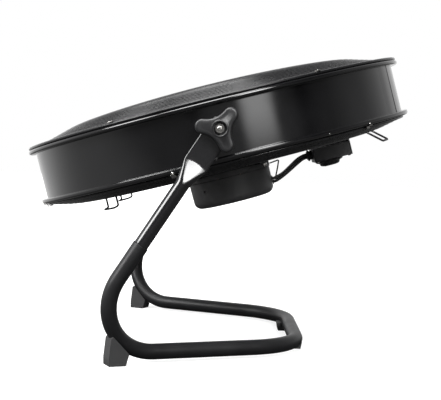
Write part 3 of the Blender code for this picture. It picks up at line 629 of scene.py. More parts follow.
def make_clip(name, degrees, sign, profile, edge, rim_wire):
    """Bent sheet clip on the rolled rim, over the grille's outer wire."""
    sheet = 1.5 * MM
    inner = 320.8 * MM
    face = edge[1] + sign * 0.3 * MM
    wire_height = profile[-1][1] * MM + sign * (rim_wire + 0.35 * MM)
    outline = [
        (inner, face), (inner + 7.4 * MM, face), (inner + 7.4 * MM, wire_height),
        (inner + 15.6 * MM, wire_height), (inner + 15.6 * MM, wire_height + sign * sheet),
        (inner + 6.2 * MM, wire_height + sign * sheet), (inner + 6.2 * MM, face + sign * sheet),
        (inner, face + sign * sheet),
    ]
    if sign < 0:
        # The rear guard lies inside its rim, so its clips reach inwards
        outline = [(2 * 328.6 * MM - radius, height) for radius, height in outline]
    outline = rounded(outline, mm([0, 0.2, 0.9, 0.4, 0.4, 1.4, 0.3, 0]), steps=3)
    half = 4.0 * MM
    shape = prism(outline, -half, half)
    upright = rotation(degrees, "Z") @ rotation(90, "X")
    # Rear clips take the darker zinc, as painted shade
    drum_piece(
        name.replace("clip", "rim_clip"), moved(shape, upright), ZINC if sign > 0 else SHADE_DARKENED_ZINC,
        "zinc_plate", [name], bevel=0.25 * MM,
    )


def make_hook(name, degrees, leg, stands_for):
    half = 15.5 * MM
    route = [on_drum(r, degrees, z, half) for r, z in leg]
    route += [on_drum(r, degrees, z, -half) for r, z in reversed(leg)]
    route = rounded(route, 3.2 * MM, steps=6, closed=False)
    drum_piece(name, wire(route, 1.7 * MM, sides=12), WIRE_PAINT, "black_wire", [stands_for], angle=60)


# Stand

ARM_PLANE = 341.4 * MM
RAIL_TURN = math.radians(24.07)


def stand_route():
    """Centre line of the bent tube, from the left arm round to the right one."""
    lean = math.radians(31.9)
    rail_height, cross_x = 17.3 * MM, 147.0 * MM

    def arm(along):
        return Vector((
            -along * math.sin(lean), -ARM_PLANE, PIVOT.z - along * math.cos(lean),
        ))

    bow = arm((PIVOT.z - rail_height) / math.cos(lean))
    inward = math.tan(RAIL_TURN) * (cross_x - bow.x)
    left = [arm(213 * MM), bow, Vector((cross_x, bow.y + inward, rail_height))]
    corners = left + [Vector((p.x, -p.y, p.z)) for p in reversed(left)]
    radii = mm([0, 83.8, 130, 130, 83.8, 0])
    return rounded(corners, radii, steps=28, closed=False, share=0.8), lean


def tube(route, outer, inner, sides=32):
    """Hollow tube open at both ends, with its walls closed there."""
    outside = wire(route, outer, sides, domed=False)
    inside = wire(route, inner, sides, domed=False)
    outside = (outside[0], outside[1][:-2])
    inside = (inside[0], [face[::-1] for face in inside[1][:-2]])
    verts, faces = merged([outside, inside])
    last = len(outside[0]) - sides
    for k in range(sides):
        m = (k + 1) % sides
        for start in (0, last):
            inner_start = start + len(outside[0])
            faces.append((start + k, start + m, inner_start + m, inner_start + k))
    return verts, faces


def make_base():
    route, lean = stand_route()
    base = piece(
        "bent_base_tube", tube(route, 12.7 * MM, 11.3 * MM, 40), BASE_PAINT, "stand",
        "black_paint", ["base_tube"], angle=50,
    )
    soften(base, 0.45 * MM, 2, 60, harden=False)
    return route, lean


TAB_HALF = 19.8


def arm_shape():
    """Tube pressed flat at its top, from sections of (along, half thickness)."""
    key = [
        (262, 10.7), (215, 10.7), (213.2, 11.3), (212, 11.5), (190, 11.5), (150, 11.5), (104, 11.5),
        (99.5, 11.2), (96.5, 10.6), (69.5, 3.0), (67.2, 2.4), (65, 2.1), (62, 2.0), (40, 2.0),
    ]
    sections = []
    for (a0, t0), (a1, t1) in zip(key, key[1:]):
        sections += [(a0 + (a1 - a0) * k / 4, t0 + (t1 - t0) * k / 4, 1.0) for k in range(4)]
    sections.append((0, 2.0, 1.0))
    for degrees in (10, 20, 30, 40, 50, 60, 68, 75, 80, 84, 87):
        turn = math.radians(degrees)
        sections.append((-TAB_HALF * math.sin(turn), 2.0, math.cos(turn)))
    corner = 16
    spread = (TAB_HALF - 11.5) / 9.5
    verts = []
    for along, thick, share in sections:
        # A pressed tube keeps its girth, so its flat grows as it thins
        flat_half = max(0.0, TAB_HALF * share - thick - spread * (thick - 2.0) * share)
        if along > 200:
            flat_half = 0.0
        outline = []
        for end in (0, 1):
            for i in range(corner + 1):
                turn = math.pi * (end + i / corner) - math.pi / 2
                side_x = flat_half if end == 0 else -flat_half
                reach = min(thick, TAB_HALF * share)
                outline.append((side_x + reach * math.cos(turn), thick * math.sin(turn)))
            for i in range(1, 6):
                start = flat_half if end == 0 else -flat_half
                outline.append((start * (1 - i / 3), thick if end == 0 else -thick))
        arch = 4.2 * max(0.0, 1 - abs(along - 68) / 24)
        for x, y in outline:
            shift = arch * max(0.0, 1 - (x / 19) ** 2)
            verts.append(Vector((x * MM, y * MM, -(along - shift) * MM)))
    sides = len(outline)
    return verts, bands(len(sections), sides) + lids(len(verts), sides)


def make_arm(side_name, side, lean):
    matrix = Matrix.Translation((0, side * ARM_PLANE, PIVOT.z)) @ Matrix.Rotation(lean, 4, "Y")
    arm = piece(
        f"pressed_arm_{side_name}", arm_shape(), TUBE_PAINT, "stand", "black_paint",
        [f"upper_arm_{side_name}"], matrix=matrix, angle=50,
    )
    hole = prism(circle(4.6 * MM, 32), -10 * MM, 10 * MM)
    subtract(arm, [moved(hole, matrix @ rotation(90, "X"))])
    arm.data.set_sharp_from_angle(angle=math.radians(50))


def saddle(name, stands_for, outline, width, at, turn, radius):
    """Rubber foot, with its tube groove cut from the stand's own centre line."""
    shape = prism(rounded(outline, radius, steps=3), -width / 2, width / 2)
    place = Matrix.Translation(at) @ Matrix.Rotation(turn, 4, "Z") @ rotation(90, "X")
    foot = piece(name, shape, RUBBER, "stand", "black_rubber", [stands_for], matrix=place)
    groove = wire(STAND_ROUTE, 13.0 * MM, 32, domed=False)
    cutters = [groove]
    if "rear" in stands_for:
        cutters.append(moved(prism(circle(6 * MM, 28), -1 * MM, 8.3 * MM), Matrix.Translation(at)))
    subtract(foot, cutters)
    soften(foot, 1.1 * MM, 3, 50)


# Clamp knobs


def knob_outline(lobe_centre, lobe_radius, waist):
    """Three round lobes joined by hollow arcs that touch the waist circle."""
    valley = Vector((math.cos(math.radians(60)), math.sin(math.radians(60))))
    tip = Vector((lobe_centre, 0))
    squared = lobe_centre**2 - (lobe_radius - waist) ** 2
    distance = squared / (2 * (tip.dot(valley) + lobe_radius - waist))
    radius = distance - waist
    centre = valley * distance
    touch = centre + (tip - centre).normalized() * radius
    touch_angle = math.atan2(touch.y, touch.x - lobe_centre)
    start = math.atan2(touch.y - centre.y, touch.x - centre.x)
    to_waist = math.atan2(-valley.y, -valley.x)
    sweep = 2 * ((to_waist - start + math.pi) % math.tau - math.pi)
    outline = []
    for lobe in range(3):
        turn = Matrix.Rotation(math.radians(120 * lobe), 2)
        for i in range(25):
            angle = -touch_angle + 2 * touch_angle * i / 24
            outline.append(turn @ (tip + Vector((math.cos(angle), math.sin(angle))) * lobe_radius))
        for i in range(1, 16):
            angle = start + sweep * i / 16
            outline.append(turn @ (centre + Vector((math.cos(angle), math.sin(angle))) * radius))
    return outline


def inset(outline, amount):
    """The outline moved inwards by an amount, along its own normals."""
    count = len(outline)
    result = []
    for i, point in enumerate(outline):
        along = (outline[(i + 1) % count] - outline[i - 1]).normalized()
        result.append(point + Vector((-along.y, along.x)) * amount)
    return result


def knob_shape():
    """Lobed knob with a crowned face, round edges and a recess with a raised ring."""
    base = knob_outline(26.5 * MM, 11.5 * MM, 18.5 * MM)
    count = len(base)
    low, high = 350.1 * MM, 363.5 * MM
    # (inset, height) up the side and over the crowned edge to the face
    steps = [
        (1.4, low), (0.5, low + 0.35 * MM), (0.0, low + 1.2 * MM), (0.0, high - 5.2 * MM),
        (0.12, high - 4.0 * MM), (0.55, high - 2.7 * MM), (1.4, high - 1.6 * MM),
        (2.7, high - 1.0 * MM), (4.4, high - 0.75 * MM), (6.4, high - 0.7 * MM),
    ]
    verts = []
    for amount, height in steps:
        verts += [Vector((p.x, p.y, height)) for p in inset(base, amount * MM)]
    # Rings from the lobed face to the round recess: the raised ring, then the wall and floor
    inner = inset(base, 6.4 * MM)
    rounds = [
        (13.6, high - 0.7 * MM), (12.9, high - 0.3 * MM), (12.1, high), (11.2, high),
        (10.5, high - 0.6 * MM), (10.2, high - 7.4 * MM), (4.7, high - 7.7 * MM),
        (4.7, low - 4.2 * MM), (14.2, low - 4.2 * MM), (15.0, low - 3.6 * MM), (15.0, low),
    ]
    for radius, height in rounds:
        for point in inner:
            angle = math.atan2(point.y, point.x)
            verts.append(Vector((radius * MM * math.cos(angle), radius * MM * math.sin(angle), height)))
    return verts, bands(len(steps) + len(rounds), count, closed=True)


def make_clamp(side_name, side):
    out = Matrix.Translation(PIVOT) @ (
        Matrix.Rotation(0 if side < 0 else math.pi, 4, "Z") @ rotation(90, "X")
    )
    turned = out @ rotation(54.5, "Z")
    body = f"{side_name}_clamp_knob"
    piece(
        f"tilt_knob_{side_name}", knob_shape(), PLASTIC, body, "black_plastic",
        [f"clamp_knob_{side_name}"], matrix=turned, angle=40,
    )
    rod = rounded(
        mm([(0, 357), (4, 357), (4, 309), (3.2, 308.2), (0, 308.2)]),
        mm([0, 0.1, 0.5, 0.2, 0]), steps=2, closed=False,
    )
    piece(
        f"tilt_bolt_{side_name}", lathe(rod, 32), ZINC, body, "zinc_plate",
        [f"clamp_bolt_{side_name}"], matrix=out,
    )
    head = out @ Matrix.Translation((0, 0, 358.1 * MM)) @ rotation(12, "Z")
    # The nut in the knob's recess takes the darker zinc, as painted shade for the recess
    hex_head(f"tilt_nut_{side_name}", head, 13 * MM, 4.4 * MM, body, material=SHADE_DARKENED_ZINC)
    end = out @ Matrix.Translation((0, 0, 362.5 * MM))
    stud = rounded(
        mm([(0, 0.7), (2.9, 0.7), (3.8, 0), (3.8, -1.5), (0, -1.5)]),
        [0, 0.4 * MM, 0.2 * MM, 0, 0], steps=2, closed=False,
    )
    piece(f"tilt_bolt_tip_{side_name}", lathe(stud, 32), ZINC, body, "zinc_plate", matrix=end)
    washer_profile = rounded(
        mm([(4.6, 343.8), (14, 343.8), (14, 345.3), (4.6, 345.3)]),
        0.4 * MM, steps=2,
    )
    piece(
        f"tilt_washer_{side_name}", lathe(washer_profile, 56), ZINC, f"{side_name}_clamp_washer",
        "zinc_plate", [f"clamp_washer_{side_name}"], matrix=out,
    )
    spacer_profile = rounded(
        mm([(4.6, 325.2), (16, 325.2), (16, 339), (4.6, 339)]),
        mm([0.3, 0.3, 1.4, 0.4]), steps=4,
    )
    piece(
        f"tilt_spacer_{side_name}", lathe(spacer_profile, 56), NYLON, "drum", "nylon",
        [f"pivot_spacer_{side_name}"], matrix=out,
    )
    hex_head(
        f"shell_nut_{side_name}", out @ Matrix.Translation((0, 0, 313.4 * MM)), 15 * MM, 6.3 * MM,
        "drum", [f"pivot_nut_{side_name}"],
    )
    flange = rounded(
        mm([(4.6, 319.75), (12, 319.75), (12, 321.7), (4.6, 321.7)]),
        0.4 * MM, steps=2,
    )
    piece(f"shell_nut_flange_{side_name}", lathe(flange, 48), ZINC, "drum", "zinc_plate", matrix=out)


# Motor


def make_motor():
    pot = rounded(
        mm([(0, -129), (73.2, -129), (74.0, -82.3), (72.2, -82.3),
         (71.6, -127), (0, -127)]),
        mm([0, 13, 0.6, 0.3, 11, 0]), steps=8, closed=False,
    )
    obj = drum_piece("motor_can", lathe(pot, 128), MOTOR_PAINT, "black_paint", ["motor_pot"])
    vent = prism(circle(2.4 * MM, 24), -6 * MM, 6 * MM)
    subtract(obj, [moved(vent, DRUM @ facing_out(-131.4, 74 * MM, -99 * MM))])
    inner = rounded(
        mm([(74.0, -71.5), (75.3, -72.6), (75.6, -81.9), (73.4, -81.9),
         (72.6, -74.4), (19.5, -74.4), (19.5, -84.8), (16.5, -84.8),
         (16.5, -74), (8, -74), (8, -71.5)]),
        mm([1.2, 1.0, 0.8, 0.3, 1, 0.8, 0.4, 0.3, 0, 0, 0.3]), steps=4,
    )
    drum_piece("motor_front_shield", lathe(inner, 128), MOTOR_PAINT, "black_paint", ["motor_end_shield"])
    for i in range(4):
        degrees = -60.5 + 90 * i
        screw(
            f"motor_seam_screw_{i + 1}", DRUM @ facing_out(degrees, 75.4 * MM, -77.4 * MM), 2.3 * MM,
            "drum", "black_paint", MOTOR_PAINT,
        )
    plate_outline = []
    for i in range(144):
        turn = math.tau * i / 144
        lug = max(0.0, math.cos(4 * (turn - math.radians(45)))) ** 6
        plate_outline.append(Vector((math.cos(turn), math.sin(turn))) * (79.2 + 0.8 * lug) * MM)
    hole = circle(24 * MM, 144)
    verts = [Vector((p.x, p.y, z)) for z in (-71.2 * MM, -68.8 * MM) for p in plate_outline]
    verts += [Vector((p.x, p.y, z)) for z in (-71.2 * MM, -68.8 * MM) for p in hole]
    faces = []
    for i in range(144):
        j = (i + 1) % 144
        faces.append((i, j, 144 + j, 144 + i))
        faces.append((288 + i, 432 + i, 432 + j, 288 + j))
        faces.append((i, 288 + i, 288 + j, j))
        faces.append((144 + i, 144 + j, 432 + j, 432 + i))
    drum_piece(
        "motor_flange", (verts, faces), PAINT, "black_paint", ["motor_mount_plate"], bevel=0.5 * MM,
    )
    for i in range(4):
        degrees = -45 + 90 * i
        centre = on_drum(82.5 * MM, degrees, 0)
        strap = prism(
            rounded(mm([(-9, -7), (15, -5.5), (15, 5.5), (-9, 7)]), 2.5 * MM, steps=4),
            -73.6 * MM, -71.6 * MM,
        )
        place = Matrix.Translation(centre) @ rotation(degrees, "Z")
        drum_piece(f"motor_strap_{i + 1}", moved(strap, place), PAINT, "black_paint", bevel=0.4 * MM)
        under = Matrix.Translation(on_drum(90.5 * MM, degrees, -73.7 * MM))
        at = DRUM @ under @ Matrix.Rotation(math.pi, 4, "X")
        # The mount nuts and studs take the darker zinc, as painted shade
        hex_head(
            f"motor_mount_nut_{i + 1}", at @ rotation(14 + 9 * i, "Z"), 8 * MM, 3.6 * MM, "drum",
            material=SHADE_DARKENED_ZINC,
        )
        tip = rounded(mm([(0, 6.4), (1.9, 6.4), (2.4, 5.8), (2.4, 3), (0, 3)]),
                      [0, 0.3 * MM, 0.2 * MM, 0, 0], steps=2, closed=False)
        piece(f"motor_mount_stud_{i + 1}", lathe(tip, 20), SHADE_DARKENED_ZINC, "drum", "zinc_plate", matrix=at)


# Fan

BLADE_DISC = 62 * MM
BLADE_TIP = 305 * MM
BLADE_REACH = math.radians(42)


def blade_height(radius, off_middle):
    out = (radius - BLADE_DISC) / (BLADE_TIP - BLADE_DISC)
    grown = min(1.0, max(0.0, out * 4))
    grown = grown * grown * (3 - 2 * grown)
    across = off_middle / BLADE_REACH
    depth = (28 + 9 * out) * MM
    return grown * (across * depth + 12 * MM * (1 - across**2))


def make_fan():
    radii = mm([13, 22, 36, 50]) + [BLADE_DISC + (BLADE_TIP - BLADE_DISC) * i / 26 for i in range(27)]
    verts, faces, index = [], [], {}

    def vertex(radius, angle, height):
        key = (round(radius, 6), round(math.degrees(angle) % 360, 3))
        if key not in index:
            index[key] = len(verts)
            verts.append(Vector((radius * math.cos(angle), radius * math.sin(angle), height)))
        return index[key]

    across = 22
    for blade in range(3):
        middle = math.radians(25) + math.tau * blade / 3
        angles = [middle - BLADE_REACH + 2 * BLADE_REACH * i / across for i in range(across + 1)]
        gap_end = middle - BLADE_REACH + math.tau / 3
        gap = [angles[-1] + (gap_end - angles[-1]) * i / 8 for i in range(9)]
        for inner, outer in zip(radii, radii[1:]):
            ring = angles if inner >= BLADE_DISC - 1e-9 else angles + gap[1:]
            for a, b in zip(ring, ring[1:]):
                corners = ((inner, a), (outer, a), (outer, b), (inner, b))
                faces.append(tuple(
                    vertex(r, t, blade_height(r, t - middle) if r > BLADE_DISC + 1e-9 else 0.0)
                    for r, t in corners
                ))
    at = DRUM @ Matrix.Translation((0, 0, -6 * MM))
    blades = piece(
        "pressed_blades", (verts, faces), ALUMINIUM, "fan", "aluminium", ["fan_blades"],
        matrix=at, angle=30,
    )
    wall = blades.modifiers.new("sheet", "SOLIDIFY")
    wall.thickness = 1.6 * MM
    wall.offset = 0
    soften(blades, 0.4 * MM, 2, 60, harden=False)
    flange = -7.1 * MM
    hub = rounded(
        [(34 * MM, flange), (34 * MM, flange - 4 * MM), (15 * MM, flange - 6 * MM),
         (15 * MM, flange - 34 * MM), (6.25 * MM, flange - 34 * MM), (6.25 * MM, flange)],
        mm([0.6, 1.5, 3, 0.8, 0.4, 0.4]), steps=4,
    )
    piece("cast_fan_hub", lathe(hub, 72), ALUMINIUM, "fan", "aluminium", ["fan_hub"], matrix=DRUM)
    for i in range(6):
        degrees = 60 * i
        at = DRUM @ Matrix.Translation(on_drum(26 * MM, degrees, -5.1 * MM))
        rivet = rounded(mm([(0, 1.8), (1.8, 1.6), (3.4, 0.2), (3.4, 0), (0, 0)]),
                        [0, 1.2 * MM, 0.3 * MM, 0, 0], steps=3, closed=False)
        piece(f"blade_rivet_{i + 1}", lathe(rivet, 24), ALUMINIUM, "fan", "aluminium", matrix=at)


# Control box

BOX = (154 * MM, 223 * MM, 36 * MM)
BOX_END = -96.5 * MM
GLAND_HEIGHT = -82 * MM
DIAL_PLACE = Matrix.Translation((182.5 * MM, 0, 0))


def rounded_block(low, high, corner, steps=4):
    """Block with its upright edges rounded."""
    corners = [(low[0], low[1]), (high[0], low[1]), (high[0], high[1]), (low[0], high[1])]
    outline = rounded(corners, corner, steps)
    return prism(outline, low[2], high[2])


def make_box():
    near, far, half = BOX
    box = drum_piece(
        "control_box", rounded_block((near, -half, BOX_END), (far, half, -71.3 * MM), 3.2 * MM),
        PLASTIC, "black_plastic", ["switch_box"],
    )
    wall = 2 * MM
    hollow = rounded_block(
        (near + wall, -half + wall, BOX_END + wall), (far - wall, half - wall, -60 * MM), 2 * MM,
    )
    shaft = moved(prism(circle(4.5 * MM, 32), BOX_END - 5 * MM, BOX_END + 5 * MM), DIAL_PLACE)
    gland_place = Matrix.Translation((near, 0, GLAND_HEIGHT)) @ rotation(-90, "Y")
    gland = moved(prism(circle(7.8 * MM, 32), -6 * MM, 4 * MM), gland_place)
    inlet_place = Matrix.Translation((198 * MM, 0, GLAND_HEIGHT)) @ rotation(-90, "X")
    inlet = moved(prism(circle(4.5 * MM, 32), 30 * MM, 40 * MM), inlet_place)
    subtract(box, [moved(s, DRUM) for s in (hollow, shaft, gland, inlet)])
    soften(box, 1.3 * MM, 3, 50)
    boss = rounded(
        mm([(8, 36.1), (8, 45), (4.5, 45), (4.5, 36.1)]),
        [0, 1.2 * MM, 0.6 * MM, 0], steps=4,
    )
    drum_piece("mains_inlet_boss", moved(lathe(boss, 40), inlet_place), PLASTIC, "black_plastic")
    lid = rounded_block((near, -half, -71 * MM), (far, half, -69 * MM), 3.2 * MM)
    drum_piece("control_box_lid", lid, PLASTIC, "black_plastic", ["switch_box_lid"], bevel=0.5 * MM)
    for i, (x, y) in enumerate(((near + 6 * MM, -half + 6 * MM), (far - 6 * MM, -half + 6 * MM),
                                (near + 6 * MM, half - 6 * MM), (far - 6 * MM, half - 6 * MM))):
        at = DRUM @ Matrix.Translation((x, y, BOX_END)) @ Matrix.Rotation(math.pi, 4, "X")
        screw(f"box_screw_{i + 1}", at, 2.7 * MM, "drum")
    # Ticks for the switch positions, raised round the knob
    ticks = []
    for i in range(4):
        degrees = 120 + 45 * i
        bar = prism(mm([(25.8, -0.6), (27.8, -0.6), (27.8, 0.6), (25.8, 0.6)]),
                    BOX_END - 0.35 * MM, BOX_END + 0.5 * MM)
        ticks.append(moved(bar, DIAL_PLACE @ rotation(degrees, "Z")))
    drum_piece("switch_position_ticks", merged(ticks), NYLON, "black_plastic")
    relief = rounded(
        mm([(6.1, 9.6), (7.4, 9.6), (7.6, 8.2), (9.9, 8.0),
         (9.9, 5.0), (8.0, 4.8), (8.0, 0.3), (7.6, 0.3),
         (7.6, -5), (6.1, -5)]),
        mm([0.3, 0.5, 0.2, 0.7, 0.7, 0.4, 0, 0, 0.3, 0.3]), steps=3,
    )
    drum_piece(
        "lead_strain_relief", moved(lathe(relief, 40), gland_place), PLASTIC, "black_plastic",
        ["lead_gland"],
    )


def make_speed_knob():
    """Knob with a wide skirt and a fluted grip, and a pointer line across its end."""
    steps = 96
    rings = [
        (24.6, -96.9, 0), (25.2, -97.8, 0), (25.0, -98.8, 0.0), (23.4, -100.2, 0.3), (20.4, -101.2, 0.8),
        (18.9, -102.0, 1.0), (18.4, -103.2, 1.0), (17.8, -104.8, 1.0), (16.6, -106.2, 0.8),
        (14.4, -107.1, 0.5), (11.0, -107.7, 0.0), (4.0, -108.1, 0),
    ]
    verts = []
    for radius, height, flute in rings:
        for i in range(steps):
            turn = math.tau * i / steps
            depth = 0.9 * flute * (0.5 + 0.5 * math.cos(12 * turn)) ** 1.5
            size = (radius - depth) * MM
            verts.append(Vector((size * math.cos(turn), size * math.sin(turn), height * MM)))
    faces = bands(len(rings), steps) + lids(len(verts), steps)
    place = DRUM @ DIAL_PLACE
    piece(
        "speed_dial", (verts, faces), PLASTIC, "speed_knob", "black_plastic", ["speed_knob"],
        matrix=place, angle=40,
    )
    line = prism(mm([(-10, -0.7), (-2, -0.7), (-2, 0.7), (-10, 0.7)]),
                 -108.25 * MM, -107.4 * MM)
    piece("speed_dial_pointer", line, ZINC, "speed_knob", "black_plastic", matrix=place)


def make_leads():
    route = [
        (74.6, -109), (82, -108.4), (96, -103.4), (111, -95), (126, -87), (138, -82.6), (148, -82),
    ]
    for name, lift, stands_for in (("upper", 3.0, []), ("lower", -3.0, ["motor_lead"])):
        knots = []
        for i, (x, z) in enumerate(route):
            spread = lift * (0.88 + 0.16 * math.sin(i * 1.9 + (0 if lift > 0 else 1.2)))
            knots.append((x * MM, 0.6 * MM * math.sin(i * 2.1 + lift), (z + spread) * MM))
        line = smooth(knots, 8)
        drum_piece(
            f"motor_cable_{name}", wire(line, 2.75 * MM, sides=20), RUBBER, "black_rubber",
            stands_for, angle=60,
        )
    clip = rounded(
        mm([(76.6, 0, -78), (94, 0, -76), (89, 0, -88), (82, 0, -103.0)]),
        1.6 * MM, steps=5, closed=False,
    )
    drum_piece(
        "lead_tie_wire", wire(clip, 1.3 * MM, sides=10), WIRE_PAINT, "black_wire", ["lead_clip"],
        angle=60,
    )
    grommet = rounded(
        mm([(6.1, 1.6), (7.8, 1.6), (8.6, 0.6), (8.6, 0.05), (6.1, 0.05)]),
        0.4 * MM, steps=2,
    )
    at = Matrix.Translation((74 * MM, 0, -109 * MM)) @ rotation(90, "Y")
    drum_piece("motor_lead_grommet", moved(lathe(grommet, 32), at), RUBBER, "black_rubber")


# Assembly

for cad in frame["nodes"].values():
    wanted = next(
        s["material_slot"] for s in frame["record"]["subparts"] if s["node"] == cad["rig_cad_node"]
    )
    cad.data.materials.clear()
    cad.data.materials.append(CAD_FINISH[wanted])

make_shell()
make_lap()
make_grille("front_wire_grille", FRONT_DOME, -1, 36 * MM, FRONT_RIM_WIRE, "front_grille")
make_grille("rear_wire_grille", REAR_DISH, 1, 84 * MM, REAR_RIM_WIRE, "rear_grille")
make_front_cap()
for i in range(6):
    make_clip(f"front_clip_{i + 1}", -119 + 60 * i, 1, FRONT_DOME, FRONT_EDGE, FRONT_RIM_WIRE)
    make_clip(f"rear_clip_{i + 1}", -105 + 60 * i, -1, REAR_DISH, REAR_EDGE, REAR_RIM_WIRE)
    at = DRUM @ facing_out(-105 + 60 * i, 335.0 * MM, RIM_SCREW_HEIGHT)
    screw(f"rear_rim_screw_{i + 1}", at, 1.9 * MM, "drum")
for i in range(3):
    rivet = rounded(mm([(0, 1.1), (1.2, 1.0), (2.1, 0.1), (2.1, 0), (0, 0)]),
                    [0, 0.8 * MM, 0.2 * MM, 0, 0], steps=3, closed=False)
    # The rim rivets take the darker zinc, as painted shade
    piece(
        f"rear_rim_rivet_{i + 1}", lathe(rivet, 20), SHADE_DARKENED_ZINC, "drum", "zinc_plate",
        matrix=DRUM @ facing_out(-60.5 + 120 * i, 334.6 * MM, RIM_SCREW_HEIGHT),
    )
UPRIGHT_LEG = ((256 * MM, -64.9 * MM), (256 * MM, -81 * MM), (265 * MM, -83 * MM))
SLOPING_LEG = ((270 * MM, -61.0 * MM), (293 * MM, -80 * MM), (297.5 * MM, -83.8 * MM))
make_hook("cord_wrap_hook_left", -142, UPRIGHT_LEG, "cord_hook_left")
make_hook("cord_wrap_hook_right", 142, UPRIGHT_LEG, "cord_hook_right")
make_hook("cord_wrap_hook_front", -24, SLOPING_LEG, "cord_hook_front")

STAND_ROUTE, LEAN = make_base()
REAR_OUTLINE = mm([
    (-15.5, 0), (12, 0), (17.5, 18), (15, 20.5), (-9.5, 46),
    (-13, 43), (-16, 12),
])
FRONT_OUTLINE = mm([(-14, 0), (14, 0), (16.5, 14.5), (-16.5, 14.5)])
for side_name, side in SIDES:
    make_arm(side_name, side, LEAN)
    low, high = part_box(f"rear_foot_{side_name}_screw")
    at = Vector(((low[0] + high[0]) / 2, (low[1] + high[1]) / 2, 0))
    saddle(f"rear_saddle_{side_name}", f"rear_foot_{side_name}", REAR_OUTLINE, 27 * MM, at,
           -side * RAIL_TURN, 1.2 * MM)
    saddle(f"front_saddle_{side_name}", f"front_foot_{side_name}", FRONT_OUTLINE, 33 * MM,
           Vector((142 * MM, side * 95 * MM, 0)), 0, 1.2 * MM)
    make_clamp(side_name, side)
    low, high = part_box(f"arm_screw_{side_name}")
    # On the inner side of the bow's tube
    head = Matrix.Translation((
        (low[0] + high[0]) / 2, -side * 12.9 * MM + side * ARM_PLANE, (low[2] + high[2]) / 2,
    ))
    screw(
        f"arm_joint_screw_{side_name}", head @ rotation(side * 90, "X"), 4.2 * MM, "stand",
        stands_for=[f"arm_screw_{side_name}"],
    )

make_motor()
make_fan()
make_box()
make_speed_knob()
make_leads()


# Studio

floor_mesh = bpy.data.meshes.new("floor")
floor_mesh.from_pydata([(-9, -9, 0), (9, -9, 0), (9, 9, 0), (-9, 9, 0)], [], [(0, 1, 2, 3)])
floor = bpy.data.objects.new("floor", floor_mesh)
bpy.context.scene.collection.objects.link(floor)
floor_paint = bpy.data.materials.new("white_floor")
floor_paint.use_nodes = True
floor_mesh.materials.append(floor_paint)


def camera_or_scene(tree, seen, lit, output):
    """Shader seen is what the camera meets directly, and shader lit is what lights the object."""
    path = node(tree, "ShaderNodeLightPath")
    choose = node(tree, "ShaderNodeMixShader", {"Fac": path.outputs["Is Camera Ray"], 1: lit, 2: seen})
    tree.links.new(choose.outputs["Shader"], output)


tree = floor_paint.node_tree
pale = tree.nodes["Principled BSDF"]
fill(tree, pale, {
    "Base Color": (0.35, 0.35, 0.35, 1), "Roughness": 0.9,
    "Emission Color": (1, 1, 1, 1), "Emission Strength": 0.72,
})
dim = node(tree, "ShaderNodeBsdfDiffuse", {"Color": (0.05, 0.05, 0.05, 1)})
# A white sheet on the floor to the left, which the drum's side reflects
place = node(tree, "ShaderNodeTexCoord").outputs["Object"]
parts = node(tree, "ShaderNodeSeparateXYZ", {0: place})
across, near, far = (
    ramp(tree, parts.outputs[axis], start, end, strength, "SMOOTHSTEP")
    for axis, start, end, strength in (
        ("X", -0.6, -1.1, 1.0), ("Y", -1.8, -0.5, 0.44), ("Y", -0.2, 0.9, 0.4),
    )
)
sheet = maths(tree, "MULTIPLY", across, maths(tree, "ADD", near, far))
bright = node(tree, "ShaderNodeEmission", {"Strength": sheet})
lit_floor = node(tree, "ShaderNodeAddShader", {0: dim.outputs["BSDF"], 1: bright.outputs["Emission"]})
camera_or_scene(
    tree, pale.outputs["BSDF"], lit_floor.outputs["Shader"],
    tree.nodes["Material Output"].inputs["Surface"],
)

world = bpy.data.worlds.new("studio")
bpy.context.scene.world = world
bpy.context.scene.view_settings.view_transform = "Standard"
world.use_nodes = True
tree = world.node_tree
direction = node(tree, "ShaderNodeTexCoord").outputs["Generated"]


def sum_of(values):
    total = values[0]
    for value in values[1:]:
        total = maths(tree, "ADD", total, value)
    return total


def cosine(vector, axis):
    """Dot product of a direction and an axis."""
    return node(
        tree, "ShaderNodeVectorMath", {0: vector, 1: axis}, operation="DOT_PRODUCT",
    ).outputs["Value"]


def glow(towards, start, end, strength, smoothly=True, stretch=(1, 1, 1)):
    """Light from a direction: none at cosine start from it, and all of strength at cosine end."""
    scaled = node(
        tree, "ShaderNodeVectorMath", {0: direction, 1: stretch}, operation="MULTIPLY",
    )
    unit = node(tree, "ShaderNodeVectorMath", {0: scaled.outputs[0]}, operation="NORMALIZE")
    return ramp(
        tree, cosine(unit.outputs[0], Vector(towards).normalized()), start, end, strength,
        "SMOOTHERSTEP" if smoothly else "LINEAR",
    )


def along_axis(value, low, high, most):
    """Value weakened by how little its direction points along the fan's axis."""
    share = ramp(tree, cosine(direction, FAN_AXIS), low, high, most)
    return maths(tree, "MULTIPLY", value, share)


def heading(degrees):
    """Level direction, turned right from the camera's side of the object."""
    turn = math.radians(degrees)
    return math.sin(turn), -math.cos(turn), 0


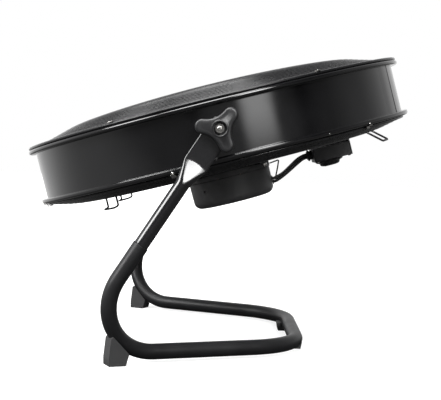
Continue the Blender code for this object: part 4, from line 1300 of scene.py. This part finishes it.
flat = (1, 1, 0.25)
light = sum_of([
    glow((0, 1, 0), -0.3, 1.0, 0.95, smoothly=False),
    along_axis(
        glow(heading(24), math.cos(math.radians(13)), 1.0, 4.0, stretch=flat), -0.016, 0.014, 1.35,
    ),
    glow(heading(13), math.cos(math.radians(31)), 1.0, 0.36),
    glow(heading(-85), math.cos(math.radians(44)), 1.0, 0.62),
    glow(heading(-135), math.cos(math.radians(50)), 1.0, 0.5),
    glow(heading(38), math.cos(math.radians(22)), 1.0, 0.28),
    glow(heading(78), math.cos(math.radians(32)), 1.0, 0.2),
])
sky = tree.nodes["Background"]
fill(tree, sky, {"Color": (1, 1, 1, 1), "Strength": light})
white = node(tree, "ShaderNodeBackground", {"Color": (1, 1, 1, 1)})
camera_or_scene(
    tree, white.outputs["Background"], sky.outputs["Background"],
    tree.nodes["World Output"].inputs["Surface"],
)


def distant(name, towards, half_angle, radiance):
    """Round softbox far away, in a direction from the object, of a half angle in degrees."""
    lamp = bpy.data.lights.new(name, "SUN")
    lamp.angle = math.radians(2 * half_angle)
    lamp.energy = radiance * math.pi * math.sin(math.radians(half_angle)) ** 2
    obj = bpy.data.objects.new(name, lamp)
    obj.rotation_euler = (-Vector(towards)).to_track_quat("-Z", "Y").to_euler()
    bpy.context.scene.collection.objects.link(obj)


distant("overhead", (-0.25, -0.35, 0.9), 22, 17)
distant("upper_left", (-0.80, -0.34, 0.50), 15, 22)
distant("upper_right", (0.283, -0.844, 0.455), 11, 26)

# Camera


def camera_matrix(at, yaw, pitch, roll):
    """Camera that looks along +Y, turned right by yaw, down by pitch and then by roll."""
    forward = Vector((
        math.sin(yaw) * math.cos(pitch), math.cos(yaw) * math.cos(pitch), -math.sin(pitch),
    ))
    level = Vector((math.cos(yaw), -math.sin(yaw), 0))
    down = -level.cross(forward)
    right = level * math.cos(roll) + down * math.sin(roll)
    down = down * math.cos(roll) - level * math.sin(roll)
    matrix = Matrix((right, -down, -forward)).transposed().to_4x4()
    matrix.translation = at
    return matrix


lens = bpy.data.cameras.new("camera")
lens.sensor_fit = "HORIZONTAL"
lens.sensor_width = 36
lens.lens = 94.34
camera = bpy.data.objects.new("camera", lens)
camera.matrix_world = camera_matrix(
    Vector((-14.2 * MM, -2089.6 * MM, 346.4 * MM)),
    math.radians(0.64), math.radians(2.74), math.radians(-2.27),
)
bpy.context.scene.collection.objects.link(camera)
bpy.context.scene.camera = camera
